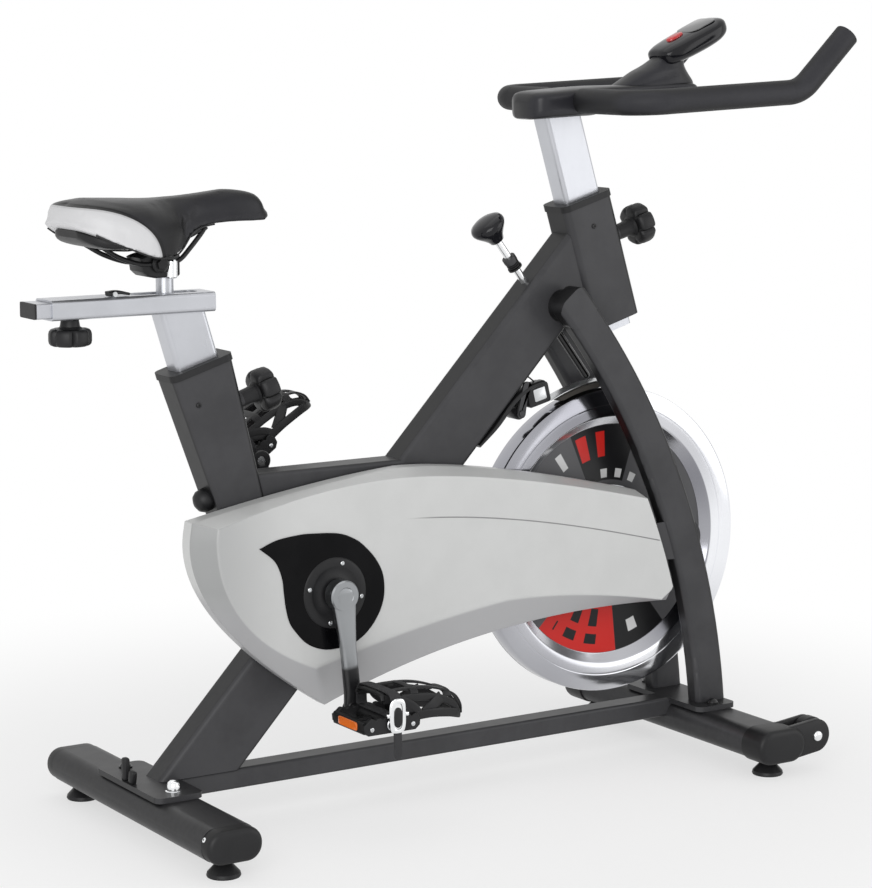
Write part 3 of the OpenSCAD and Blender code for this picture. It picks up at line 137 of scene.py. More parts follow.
class Shader:
    """Builds one material around a Principled shader."""

    def __init__(self, name: str) -> None:
        """Makes an empty material with its shader and output."""
        self.material = bpy.data.materials.new(name)
        self.material.use_nodes = True
        self.tree = self.material.node_tree
        self.tree.nodes.clear()
        self.principled = self.tree.nodes.new("ShaderNodeBsdfPrincipled")
        output = self.tree.nodes.new("ShaderNodeOutputMaterial")
        self.tree.links.new(self.principled.outputs[0], output.inputs[0])

    def add(self, kind: str, settings: dict[str, object], inputs: dict[int | str, object],
            output: int | str = 0) -> Sock:
        """Adds a node.

        Args:
            kind: the node's type, without ShaderNode.
            settings: its properties, set before its inputs; stops are a colour ramp's.
            inputs: a value or a Sock for each input, by number or name.
            output: which output is returned.

        Returns:
            The chosen output.
        """
        node = self.tree.nodes.new("ShaderNode" + kind)
        for key, value in settings.items():
            if key == "stops":
                self._stops(node.color_ramp, value)
            else:
                setattr(node, key, value)
        for key, value in inputs.items():
            self.put(node.inputs[key], value)
        return Sock(self, node.outputs[output])

    @staticmethod
    def _stops(ramp: bpy.types.ColorRamp, stops: Sequence[tuple[float, Colour]]) -> None:
        """Gives a colour ramp its stops."""
        while len(ramp.elements) < len(stops):
            ramp.elements.new(0.5)
        for element, (place, colour) in zip(ramp.elements, stops):
            element.position = place
            element.color = (*colour, 1.0)

    def put(self, socket: bpy.types.NodeSocket, value: object) -> None:
        """Links a Sock to an input, or writes a plain value into it."""
        if isinstance(value, Sock):
            self.tree.links.new(value.socket, socket)
        elif isinstance(value, tuple) and len(value) == 3 and socket.type == "RGBA":
            socket.default_value = (*value, 1.0)
        else:
            socket.default_value = value

    def set(self, **values: object) -> None:
        """Fills inputs of the Principled shader, with _ for each space in their names."""
        for key, value in values.items():
            self.put(self.principled.inputs[key.replace("_", " ")], value)

    def place(self, scale: Point = (1, 1, 1), turn: Point = (0, 0, 0), move: Point = (0, 0, 0)) -> Sock:
        """Object coordinates in metres, moved, turned and then scaled.

        Args:
            scale: factor along each axis.
            turn: Euler angles in radians.
            move: shift that comes first.

        Returns:
            The vector.
        """
        start = self.add("TexCoord", {}, {}, "Object")
        moved = self.add("VectorMath", {"operation": "ADD"}, {0: start, 1: move})
        turned = self.add("VectorRotate", {"rotation_type": "EULER_XYZ"}, {"Vector": moved, "Rotation": turn})
        return self.add("VectorMath", {"operation": "MULTIPLY"}, {0: turned, 1: scale})

    def axes(self, vector: Sock) -> tuple[Sock, Sock, Sock]:
        """The three parts of a vector."""
        node = self.add("SeparateXYZ", {}, {0: vector}).socket.node
        return tuple(Sock(self, part) for part in node.outputs)

    def noise(self, vector: Sock, scale: float, detail: float = 2.0, rough: float = 0.5) -> Sock:
        """Noise about 0.5 over a vector."""
        return self.add("TexNoise", {}, {"Vector": vector, "Scale": scale, "Detail": detail, "Roughness": rough})

    def cells(self, vector: Sock, scale: float) -> Sock:
        """Distance to the nearest of many scattered points."""
        return self.add("TexVoronoi", {"feature": "F1"}, {"Vector": vector, "Scale": scale})

    def mix(self, a: Sock | Colour, b: Sock | Colour, share: Sock | float) -> Sock:
        """Blends two colours: a where share is 0, b where it is 1."""
        return self.add("Mix", {"data_type": "RGBA"}, {0: share, 6: a, 7: b}, 2)

    def whiten(self, share: Sock) -> None:
        """Lets the surface turn into an even white where share is 1."""
        glow = self.add("Emission", {}, {"Color": (1.0, 1.0, 1.0), "Strength": 1.0})
        mixed = self.add("MixShader", {}, {0: share, 1: Sock(self, self.principled.outputs[0]), 2: glow})
        output = next(node for node in self.tree.nodes if node.bl_idname == "ShaderNodeOutputMaterial")
        self.put(output.inputs[0], mixed)

    def bump(self, height: Sock, depth: float, under: Sock | None = None) -> Sock:
        """The normal of a height from 0 to 1, depth metres tall, over another normal."""
        inputs: dict[int | str, object] = {"Height": height, "Distance": depth}
        if under is not None:
            inputs["Normal"] = under
        return self.add("Bump", {}, inputs)


class Grain(Enum):
    """Kinds of fine relief on a surface."""

    PEEL = "the soft ripple of powder coat and spray paint"
    MOULDED = "the fine spark-eroded texture of plastic"
    FOAM = "the closed skin of dipped foam"
    LEATHER = "the pebbled skin of vinyl and leather"
    BRUSHED = "fine lines of brushed or ground metal"
    CAST = "the coarse skin of a casting"
    SMOOTH = "almost none"


@dataclass(frozen=True)
class Finish:
    """A surface finish: its colour, gloss and fine relief."""

    name: str
    colour: Colour
    roughness: float
    metallic: float = 0.0
    coat: float = 0.0
    grain: Grain = Grain.SMOOTH
    scale: float = 900.0
    depth: float = 0.00004
    mottle: float = 0.10
    smudge: float = 0.10
    specular: float = 0.5
    # Colour factor where the surface turns away from the eye: painted shade at its edges; 1 paints none.
    painted_edge_shade: float = 1.0

    def build(self) -> Material:
        """Makes the material."""
        shader = Shader(self.name)
        here = shader.place()
        worn = shader.noise(here, 14.0, 4.0, 0.6)
        shader.set(Base_Color=self.paint(shader, here, worn), Roughness=self.gloss(shader, here, worn),
                   Metallic=self.metal(shader), Coat_Weight=self.coat, Coat_Roughness=0.12,
                   Specular_IOR_Level=self.specular, Normal=self.relief(shader, here),)
        return shader.material

    def paint(self, shader: Shader, here: Sock, worn: Sock) -> Sock:
        """Colour, a little lighter and darker in soft patches, with painted shade where the surface turns away from the
        eye.

        Args:
            shader: the material's builder.
            here: object coordinates.
            worn: soft noise.

        Returns:
            The colour.
        """
        dark = tuple(c * (1 - self.mottle) for c in self.colour)
        light = tuple(min(1.0, c * (1 + self.mottle) + 0.002) for c in self.colour)
        colour = shader.mix(dark, light, worn.step(0.3, 0.7))
        if self.painted_edge_shade == 1.0:
            return colour
        # Painted shade: the colour darkens where the surface turns away from the eye.
        facing = shader.add("LayerWeight", {}, {"Blend": 0.5}, "Facing")
        deep = tuple(c * self.painted_edge_shade for c in self.colour)
        return shader.mix(colour, deep, facing.step(0.18, 0.55))

    def gloss(self, shader: Shader, here: Sock, worn: Sock) -> Sock:
        """Roughness, with faint smudges."""
        fine = shader.noise(here, 60.0, 2.0)
        return (worn * 0.6 + fine * 0.4 - 0.5) * (2 * self.smudge) + self.roughness

    def height(self, shader: Shader, here: Sock) -> Sock:
        """Height of the fine relief, about 0 to 1."""
        if self.grain is Grain.BRUSHED:
            return shader.noise(shader.place(scale=(1, 1, 40)), self.scale, 2.0)
        if self.grain is Grain.LEATHER:
            return shader.cells(here, self.scale) * 0.8 + shader.noise(here, self.scale * 2.5, 1.0) * 0.3
        if self.grain is Grain.FOAM:
            return shader.noise(here, self.scale, 5.0, 0.7)
        if self.grain is Grain.MOULDED:
            return shader.noise(here, self.scale, 3.0, 0.65)
        if self.grain is Grain.CAST:
            return shader.noise(here, self.scale, 6.0, 0.6)
        return shader.noise(here, self.scale, 1.0)

    def metal(self, shader: Shader) -> Sock | float:
        """How metallic the surface is."""
        return self.metallic

    def relief(self, shader: Shader, here: Sock) -> Sock:
        """The normal that carries the fine relief."""
        return shader.bump(self.height(shader, here), self.depth)


# ---------------------------------------------------------------- special finishes
@dataclass(frozen=True)
class SteelPaint(Finish):
    """Powder coat on welded steel, with a trace of dust near the floor."""

    def paint(self, shader: Shader, here: Sock, worn: Sock) -> Sock:
        """Colour that greys a little towards the floor."""
        base = super().paint(shader, here, worn)
        low = shader.axes(here)[2].step(0.35, 0.0) * shader.noise(here, 120.0, 3.0)
        return shader.mix(base, tuple(c * 1.5 + 0.01 for c in self.colour), low * 0.3)


@dataclass(frozen=True)
class BrightTube(Finish):
    """Satin-chromed tube: streaks run along it and scatter its shine."""

    lean: float = 0.0

    def height(self, shader: Shader, here: Sock) -> Sock:
        """Long streaks along the tube."""
        along = shader.place(scale=(1, 1, 0.03), turn=(0, self.lean, 0))
        return shader.noise(along, self.scale, 2.0)

    def gloss(self, shader: Shader, here: Sock, worn: Sock) -> Sock:
        """Roughness that changes from streak to streak."""
        along = shader.place(scale=(1, 1, 0.05), turn=(0, self.lean, 0))
        streaks = shader.noise(along, 300.0, 3.0)
        return (streaks - 0.5) * self.smudge + (worn - 0.5) * self.smudge + self.roughness


@dataclass(frozen=True)
class Webbing(Finish):
    """Woven strap: slanting ribs of yarn."""

    pitch: float = 0.0011

    def height(self, shader: Shader, here: Sock) -> Sock:
        """Two sets of ribs that cross."""
        x, y, z = shader.axes(here)
        turn = 2 * pi / self.pitch
        ribs = ((x + z) * turn).sine() * 0.5 + 0.5
        cross = ((y + z * 0.5) * turn).sine() * 0.5 + 0.5
        return ribs * 0.6 + cross * 0.4


@dataclass(frozen=True)
class TreadRubber(Finish):
    """Soft rubber with a dull, slightly dusty skin."""

    def gloss(self, shader: Shader, here: Sock, worn: Sock) -> Sock:
        """Roughness with dust in patches."""
        return (shader.noise(here, 90.0, 4.0) - 0.5) * 0.25 + self.roughness


@dataclass(frozen=True)
class GroovedPlastic(Finish):
    """Pale moulded plastic with one long shallow groove along the guard's face; painted shade darkens the groove, the
    face's rear end and the lower and rear bevel.
    """

    curve: tuple[float, float, float, float] = (0.2154, -0.33375, -0.10284, 0.42784)
    half_groove: float = 0.0011
    corner_slope: float = 0.276
    # The four tones below are painted shade: in the groove, at the face's rear end, on the lower bevel and on the bevel
    # behind the crank.
    groove_shade_tone: Colour = (0.16, 0.16, 0.165)
    rear_shade_tone: Colour = (0.39, 0.395, 0.395)
    lower_bevel_shade_tone: Colour = (0.36, 0.36, 0.37)
    rear_bevel_shade_tone: Colour = (0.30, 0.305, 0.305)

    def groove(self, shader: Shader) -> Sock:
        """1 in the middle of the groove, a cubic curve in the side plane, and 0 outside it.

        Args:
            shader: the material's builder.

        Returns:
            The mask.
        """
        x, y, z = shader.axes(shader.place())
        a, b, c, d = self.curve
        off = abs(z - (((x * a + b) * x + c) * x + d)) * 0.95
        line = off.step(self.half_groove, self.half_groove * 0.2) * y.step(-0.079, -0.081)
        return line * x.step(0.374, 0.368) * x.step(-0.10, -0.03)

    def paint(self, shader: Shader, here: Sock, worn: Sock) -> Sock:
        """Colour with painted shade at the face's rear end, on the lower and rear bevel and in the groove."""
        x, y, z = shader.axes(shader.place())
        # Painted shade towards the face's rear end.
        rear = x.step(-0.26, -0.42) * y.step(-0.0800, -0.0816)
        colour = shader.mix(super().paint(shader, here, worn), self.rear_shade_tone, rear)
        bevel = y.step(-0.0818, -0.0795) * y.step(-0.0530, -0.0545)
        # Painted shade on the lower bevel.
        under = y.step(-0.0818, -0.0795) * z.step(0.37, 0.33)
        colour = shader.mix(colour, self.lower_bevel_shade_tone, under * 0.85)
        corner = (z - CRANK.z) + (x - CRANK.x) * self.corner_slope
        # Painted shade on the rear bevel behind and below the crank.
        behind = bevel * corner.step(0.0600, 0.0580) * (x - CRANK.x).step(-0.10, -0.16) * z.step(0.30, 0.36)
        colour = shader.mix(colour, self.rear_bevel_shade_tone, behind * 0.95)
        # Painted shade in the groove.
        return shader.mix(colour, self.groove_shade_tone, self.groove(shader) * 0.8)

    def relief(self, shader: Shader, here: Sock) -> Sock:
        """The normal with the groove on the fine relief."""
        return shader.bump(1 - self.groove(shader), 0.0008, under=super().relief(shader, here))


@dataclass(frozen=True)
class CrankMetal(Finish):
    """Forged crank arm: satin metal at the boss that turns into black paint outwards."""

    change: float = 0.106

    def painted(self, shader: Shader) -> Sock:
        """1 where the arm is painted."""
        x, _, z = shader.axes(shader.place(move=(-CRANK.x, 0, -CRANK.z)))
        return ((x * x + z * z) ** 0.5).step(self.change - 0.004, self.change + 0.004)

    def paint(self, shader: Shader, here: Sock, worn: Sock) -> Sock:
        """Metal colour and black."""
        return shader.mix(super().paint(shader, here, worn), (0.012, 0.012, 0.013), self.painted(shader))

    def metal(self, shader: Shader) -> Sock:
        """Metallic where the arm is bare."""
        return 1 - self.painted(shader)


@dataclass(frozen=True)
class PanelPaint(Finish):
    """Painted flywheel disc: mid grey with a red panel and print on its outer side, and two black sectors of painted
    shadow where the fork arms shade it.
    """

    # dark is the tone of the print and of the two sectors of painted shadow.
    dark: Colour = (0.006, 0.006, 0.007)
    bright: Colour = (0.55, 0.016, 0.012)
    pale: Colour = (0.62, 0.62, 0.62)

    def paint(self, shader: Shader, here: Sock, worn: Sock) -> Sock:
        """Colour with its red panel, its print and the painted shadow sectors."""
        x, y, z = shader.axes(shader.place(move=(-WHEEL.x, 0, -WHEEL.z)))
        radius = (x * x + z * z) ** 0.5
        angle = shader.add("Math", {"operation": "ARCTAN2"}, {0: z, 1: x}) * (180 / pi)
        ring = radius.band(0.094, 0.1815, 0.0006) * y.step(0.001, -0.001)
        beat = (angle * 0.42).sine()
        colour = super().paint(shader, here, worn)
        # The first two sectors are painted shadow of the fork arms; the third is the red panel.
        for low, high, tone in ((72.0, 113.0, self.dark), (-84.0, -52.0, self.dark), (-135.0, -84.0, self.bright)):
            colour = shader.mix(colour, tone, ring * angle.band(low, high, 0.3))
        marks = ((92.0, 111.0, 0.132, 0.172, self.bright, -0.2), (-130.0, -90.0, 0.112, 0.140, self.dark, 0.1),
                 (-128.0, -94.0, 0.152, 0.168, self.dark, -0.1), (122.0, 134.0, 0.140, 0.168, self.pale, 0.3),
                 (-74.0, -62.0, 0.140, 0.160, self.pale, 0.1), (60.0, 100.0, 0.098, 0.112, self.pale, 0.2))
        for low, high, inner, outer, tone, level in marks:
            patch = ring * angle.band(low, high, 0.3) * radius.band(inner, outer, 0.0005)
            colour = shader.mix(colour, tone, patch * beat.step(level - 0.04, level + 0.04))
        return colour


@dataclass(frozen=True)
class RimMetal(Finish):
    """Polished wheel rim: mirror bright, with light and dark bands of painted reflection around it."""

    def paint(self, shader: Shader, here: Sock, worn: Sock) -> Sock:
        """Painted reflection: brightness that changes around the rim and is lower on its inner slope."""
        x, _, z = shader.axes(shader.place(move=(-WHEEL.x, 0, -WHEEL.z)))
        radius = (x * x + z * z) ** 0.5
        angle = shader.add("Math", {"operation": "ARCTAN2"}, {0: z, 1: x})
        slope = radius.step(0.1985, 0.1965)
        # The bands are painted reflection of the studio, swept around the rim and reversed on the inner slope.
        ripple = (angle * 5.0 + 1.9).sine() * 0.12
        reflected_sweep = (angle + 1.92).sine() * 0.42 + 0.5
        face = shader.mix((0.22, 0.22, 0.25), (0.86, 0.87, 0.90), reflected_sweep + ripple)
        inner = shader.mix((0.90, 0.91, 0.93), (0.20, 0.20, 0.23), reflected_sweep - ripple)
        return shader.mix(face, inner, slope)


@dataclass(frozen=True)
class RodMetal(Finish):
    """Brake rod: chrome above the beam and blackened below it."""

    start: float = 0.735

    def bright(self, shader: Shader) -> Sock:
        """1 above the beam."""
        return shader.axes(shader.place())[2].step(self.start, self.start + 0.004)

    def paint(self, shader: Shader, here: Sock, worn: Sock) -> Sock:
        """Chrome colour and black."""
        return shader.mix((0.004, 0.004, 0.004), super().paint(shader, here, worn), self.bright(shader))

    def metal(self, shader: Shader) -> Sock:
        """Metallic where the rod is bright."""
        return self.bright(shader) * self.metallic


@dataclass(frozen=True)
class PanelVinyl(Finish):
    """Saddle cover: dark vinyl with a pale panel on each rear side and a seam around it."""

    def edge(self, shader: Shader) -> Sock:
        """Distance from the panel's middle, 1 at its edge."""
        x, _, z = shader.axes(shader.place())
        along = (x + PANEL_BEHIND).highest(0.0) / PANEL_LENGTH
        up = (z - PANEL_LEVEL) / PANEL_RISE
        return (along * along + up * up) ** 0.5

    def paint(self, shader: Shader, here: Sock, worn: Sock) -> Sock:
        """Dark cover, pale panel and the dark seam between them."""
        edge = self.edge(shader)
        panel = edge.step(1.005, 0.995)
        colour = shader.mix(super().paint(shader, here, worn), (0.62, 0.62, 0.63), panel)
        return shader.mix(colour, (0.004, 0.004, 0.004), edge.band(0.985, 1.015, 0.006))

    def relief(self, shader: Shader, here: Sock) -> Sock:
        """The pebbled skin with the seam pressed into it."""
        seam = 1 - self.edge(shader).band(0.97, 1.03, 0.02)
        return shader.bump(seam, 0.0012, under=super().relief(shader, here))


# ---------------------------------------------------------------- mesh tools
Ring = tuple[list[bmesh.types.BMVert], list[bmesh.types.BMEdge]]


class Form:
    """A mesh being built with bmesh operators."""

    def __init__(self, name: str) -> None:
        """Starts an empty form."""
        self.name = name
        self.mesh = bmesh.new()

    def ring(self, points: Sequence[Vector]) -> Ring:
        """Adds one closed ring of edges."""
        made = bmesh.ops.create_circle(self.mesh, segments=len(points), radius=1.0, cap_ends=False)
        verts = list(made["verts"])
        for vert, point in zip(verts, points):
            vert.co = point
        return verts, list({edge for vert in verts for edge in vert.link_edges})

    def grow(self, ring: Ring, points: Sequence[Vector]) -> Ring:
        """Extrudes a ring and moves its copy.

        Args:
            ring: the ring's points and edges.
            points: where the copy's points go, in the ring's order.

        Returns:
            The copy.
        """
        made = bmesh.ops.extrude_edge_only(self.mesh, edges=ring[1])["geom"]
        fresh = {item for item in made if isinstance(item, bmesh.types.BMVert)}
        verts = [next(edge.other_vert(vert) for edge in vert.link_edges if edge.other_vert(vert) in fresh)
                 for vert in ring[0]]
        for vert, point in zip(verts, points):
            vert.co = point
        edges = [item for item in made if isinstance(item, bmesh.types.BMEdge)
                 and item.verts[0] in fresh and item.verts[1] in fresh]
        return verts, edges

    def skin(self, rings: Sequence[Sequence[Vector]]) -> tuple[Ring, Ring]:
        """Joins rings of as many points each, leaves both ends open and returns the end rings."""
        first = last = self.ring(rings[0])
        for points in rings[1:]:
            last = self.grow(last, points)
        return first, last

    def loft(self, rings: Sequence[Sequence[Vector]], closed: bool = False) -> None:
        """Joins rings of points into one skin, filled at its ends or closed from the last ring to the first."""
        first, last = self.skin(rings)
        if closed:
            self.grow(last, rings[0])
            return
        for ring in (first, last):
            bmesh.ops.contextual_create(self.mesh, geom=ring[1])

    def plate(self, *rings: Ring, normal: Vector) -> None:
        """Fills the flat area between an outer ring and its holes, facing along the normal."""
        edges = [edge for ring in rings for edge in ring[1]]
        bmesh.ops.triangle_fill(self.mesh, use_beauty=True, use_dissolve=False, edges=edges, normal=normal)

    def lathe(self, profile: Sequence[Flat], centre: Vector, axis: Vector, steps: int = 48) -> None:
        """Spins a profile about an axis.

        Args:
            profile: points as (radius, distance along the axis).
            centre: the point that distances along the axis start from.
            axis: direction of the axis.
            steps: number of steps around it.
        """
        axis = axis.normalized()
        side = axis.orthogonal().normalized()
        verts = [self.mesh.verts.new(centre + side * radius + axis * along) for radius, along in profile]
        edges = [self.mesh.edges.new(pair) for pair in zip(verts, verts[1:])]
        bmesh.ops.spin(self.mesh, geom=verts + edges, cent=centre, axis=axis, angle=2 * pi,
                       steps=steps, use_merge=True)

    def turn(self, profile: Sequence[Flat], centre: Vector, axis: Vector, steps: int = 48) -> None:
        """Spins a profile of radii and distances in millimetres about an axis."""
        self.lathe([(r * 0.001, h * 0.001) for r, h in profile], centre, axis, steps)

    def block(self, size: Point, centre: Vector, turn: Matrix, edge: float) -> None:
        """Adds a box with rounded edges.

        Args:
            size: its three sides.
            centre: its middle.
            turn: its rotation.
            edge: radius of the rounded edges.
        """
        verts = bmesh.ops.create_cube(self.mesh, size=1.0)["verts"]
        place = Matrix.Translation(centre) @ turn.to_4x4() @ Matrix.Diagonal((*size, 1.0))
        bmesh.ops.transform(self.mesh, matrix=place, verts=verts)
        edges = list({e for v in verts for e in v.link_edges})
        bmesh.ops.bevel(self.mesh, geom=edges, offset=edge, segments=3, profile=0.5, affect="EDGES", material=-1,
                        clamp_overlap=True)

    def weld(self, gap: float = 0.00001) -> None:
        """Merges points that coincide and turns the faces outwards."""
        bmesh.ops.remove_doubles(self.mesh, verts=self.mesh.verts, dist=gap)
        bmesh.ops.recalc_face_normals(self.mesh, faces=self.mesh.faces)

    def thicken(self, depth: float) -> None:
        """Gives a skin its thickness, outwards where depth is positive."""
        self.weld()
        bmesh.ops.solidify(self.mesh, geom=self.mesh.faces[:], thickness=-depth)

    def mirror_y(self) -> None:
        """Adds the form's mirror image on the bike's other side."""
        copy = bmesh.ops.duplicate(self.mesh, geom=self.mesh.verts[:] + self.mesh.edges[:] + self.mesh.faces[:])
        verts = [g for g in copy["geom"] if isinstance(g, bmesh.types.BMVert)]
        faces = [g for g in copy["geom"] if isinstance(g, bmesh.types.BMFace)]
        for vert in verts:
            vert.co.y = -vert.co.y
        bmesh.ops.reverse_faces(self.mesh, faces=faces)

    def finish(self, material: Material, smooth: float = 40.0) -> bpy.types.Object:
        """Makes the object.

        Args:
            material: its material.
            smooth: edges sharper than this angle, in degrees, stay crisp.

        Returns:
            The object.
        """
        self.weld()
        mesh = bpy.data.meshes.new(self.name)
        self.mesh.to_mesh(mesh)
        self.mesh.free()
        for polygon in mesh.polygons:
            polygon.use_smooth = True
        mesh.set_sharp_from_angle(angle=radians(smooth))
        mesh.materials.append(material)
        piece = bpy.data.objects.new(self.name, mesh)
        bpy.context.scene.collection.objects.link(piece)
        return piece

    def place(self, body: str, slot: str, *gone: str, look: str = "", smooth: float = 40.0) -> None:
        """Makes the object, attaches it to its body and hides the CAD nodes it stands for.

        Args:
            body: the body it moves with.
            slot: the record's material slot it takes its finish from.
            gone: CAD nodes that it stands for.
            look: its finish, where that isn't the slot's.
            smooth: edges sharper than this angle, in degrees, stay crisp.
        """
        put(self.finish(LOOKS[look or slot], smooth), body, slot, *gone)


def oval(centre: Vector, side: Vector, up: Vector, half_w: float, half_h: float, count: int = 24,
         power: float = 2.0) -> list[Vector]:
    """Points of a rounded ring.

    Args:
        centre: its middle.
        side: direction of its width.
        up: direction of its height.
        half_w: half its width.
        half_h: half its height.
        count: number of points.
        power: 2 is an ellipse, and a larger number comes closer to a rectangle.

    Returns:
        The points.
    """
    points = []
    for step in range(count):
        angle = 2 * pi * (step + 0.5) / count
        c, s = cos(angle), sin(angle)
        u = copysign(abs(c) ** (2 / power), c) * half_w
        v = copysign(abs(s) ** (2 / power), s) * half_h
        points.append(centre + side * u + up * v)
    return points


def rounded(centre: Vector, side: Vector, up: Vector, half_w: float, half_h: float, radius: float) -> list[Vector]:
    """Points of a rectangle with round corners.

    Args:
        centre: its middle.
        side: direction of its width.
        up: direction of its height.
        half_w: half its width.
        half_h: half its height.
        radius: radius of the corners.

    Returns:
        The points.
    """
    steps = 8
    points = []
    for k, (sx, sz) in enumerate(((1, 1), (-1, 1), (-1, -1), (1, -1))):
        for step in range(steps + 1):
            angle = pi / 2 * (k + step / steps)
            points.append(centre + side * (sx * (half_w - radius) + cos(angle) * radius)
                          + up * (sz * (half_h - radius) + sin(angle) * radius))
    return points


def link_outline(start: Flat, end: Flat, radii: Flat, steps: int = 16) -> list[Flat]:
    """Outline of two discs and the area between their common tangents, in the side plane.

    Args:
        start: middle of the first disc.
        end: middle of the second disc.
        radii: their radii.
        steps: steps of each round end.

    Returns:
        Its points.
    """
    run = dist(start, end)
    way = atan2(end[1] - start[1], end[0] - start[0])
    open_angle = acos((radii[0] - radii[1]) / run)
    points = []
    for (x, z), radius, low, high in ((end, radii[1], way - open_angle, way + open_angle),
                                      (start, radii[0], way + open_angle, way + 2 * pi - open_angle)):
        for step in range(steps + 1):
            angle = low + (high - low) * step / steps
            points.append((x + radius * cos(angle), z + radius * sin(angle)))
    return points


def smooth_path(points: Sequence[Vector], steps: int = 8) -> list[Vector]:
    """A smooth curve through a few points."""
    padded = [points[0] * 2 - points[1], *points, points[-1] * 2 - points[-2]]
    path = []
    for a, b, c, d in zip(padded, padded[1:], padded[2:], padded[3:]):
        for step in range(steps):
            t = step / steps
            path.append(0.5 * (2 * b + (c - a) * t + (2 * a - 5 * b + 4 * c - d) * t * t
                               + (3 * b - a - 3 * c + d) * t ** 3))
    path.append(points[-1].copy())
    return path


def sweep(form: Form, path: Sequence[Vector], side: Vector, half_w: Width, half_h: Width, count: int = 16,
          power: float = 2.0, closed: bool = False) -> None:
    """Sweeps a rounded section along a path.

    Args:
        form: the form it is added to.
        path: points of the path.
        side: direction that the section's width keeps close to.
        half_w: half width, as a number or for each share of the path.
        half_h: half height, in the same way.
        count: points of the section.
        power: the section's squareness.
        closed: whether the path closes.
    """
    rings = []
    last = len(path) - 1
    for index, point in enumerate(path):
        if closed:
            ahead = path[(index + 1) % len(path)] - path[index - 1]
        else:
            ahead = path[min(index + 1, last)] - path[max(index - 1, 0)]
        ahead.normalize()
        across = (side - ahead * side.dot(ahead)).normalized()
        up = ahead.cross(across)
        share = index / last
        wide, high = (size(share) if callable(size) else size for size in (half_w, half_h))
        rings.append(oval(point, across, up, wide, high, count, power))
    form.loft(rings, closed)


def turned(angle: float, axis: str = "Y") -> Matrix:
    """Rotation by an angle in degrees about an axis."""
    return Matrix.Rotation(radians(angle), 3, axis)


def put(piece: bpy.types.Object, body: str, slot: str, *gone: str) -> None:
    """Attaches a piece to its body and hides the CAD nodes it stands for.

    Args:
        piece: the object.
        body: the body it moves with.
        slot: the record's material slot; it is not used.
        gone: CAD nodes that it stands for.
    """
    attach(piece, body)
    if gone:
        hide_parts(*gone)
    LOG.info("%s: %d faces on %s", piece.name, len(piece.data.polygons), body)


# ---------------------------------------------------------------- places
def mm(x: float, y: float, z: float) -> Vector:
    """A point or a step given in millimetres."""
    return Vector((x, y, z)) * 0.001


@dataclass(frozen=True)
class Spot:
    """A local frame in the bike's side plane, leaning back by an angle in degrees."""

    origin: Vector
    lean: float

    def at(self, x: float, y: float, z: float) -> Vector:
        """A local point in millimetres as a point in metres."""
        return self.origin + self.turn() @ mm(x, y, z)

    def turn(self) -> Matrix:
        """The frame's rotation."""
        return turned(-self.lean)

    def way(self, x: float, y: float, z: float) -> Vector:
        """A local direction."""
        return self.turn() @ Vector((x, y, z))


def joint_at(name: str) -> Vector:
    """The place of a joint."""
    return Vector(next(item for item in frame["joints"] if item["name"] == name)["pos_m"])


CRANK = Vector((joint_at("crank_spin").x, 0, joint_at("crank_spin").z))
WHEEL = Vector((joint_at("flywheel_spin").x, 0, joint_at("flywheel_spin").z))
SEAT = Spot(mm(-395.15, 0, 667.10), 17.1)
HEAD = Spot(mm(267.93, 0, 878.55), 16.8)
BAR = Spot(mm(246.53, 0, 1035.55), 2.5)
CONSOLE = Spot(mm(470.65, 0, 1129.42), 24.0)
BRAKE = Spot(mm(149.08, 0, 788.51), -142.4)
ARM_CENTRE = mm(-689.5, 0, -25.4)


def bezier(p: Sequence[float], q: Sequence[float], r: Sequence[float], steps: int) -> list[Flat]:
    """A quadratic curve in the side plane.

    Args:
        p: its start.
        q: its control point.
        r: its end.
        steps: number of steps.

    Returns:
        Its points.
    """
    made = []
    for step in range(steps + 1):
        t = step / steps
        made.append(tuple((1 - t) ** 2 * a + 2 * t * (1 - t) * b + t * t * c for a, b, c in zip(p, q, r)))
    return made


def blend_table(table: Sequence[Sequence[float]], share: float) -> list[float]:
    """A smooth row between the rows of a table whose first column rises.

    Args:
        table: the rows.
        share: the wanted value of the first column.

    Returns:
        The other columns there.
    """
    index = max(k for k in range(len(table) - 1) if table[k][0] <= share or k == 0)
    a, b, c, d = (table[min(max(k, 0), len(table) - 1)] for k in range(index - 1, index + 3))
    t = (share - b[0]) / (c[0] - b[0])
    row = []
    for k in range(1, len(b)):
        low = (c[k] - a[k]) / max(c[0] - a[0], 1e-9) * (c[0] - b[0])
        high = (d[k] - b[k]) / max(d[0] - b[0], 1e-9) * (c[0] - b[0])
        row.append((2 * t ** 3 - 3 * t ** 2 + 1) * b[k] + (t ** 3 - 2 * t ** 2 + t) * low
                   + (3 * t ** 2 - 2 * t ** 3) * c[k] + (t ** 3 - t ** 2) * high)
    return row


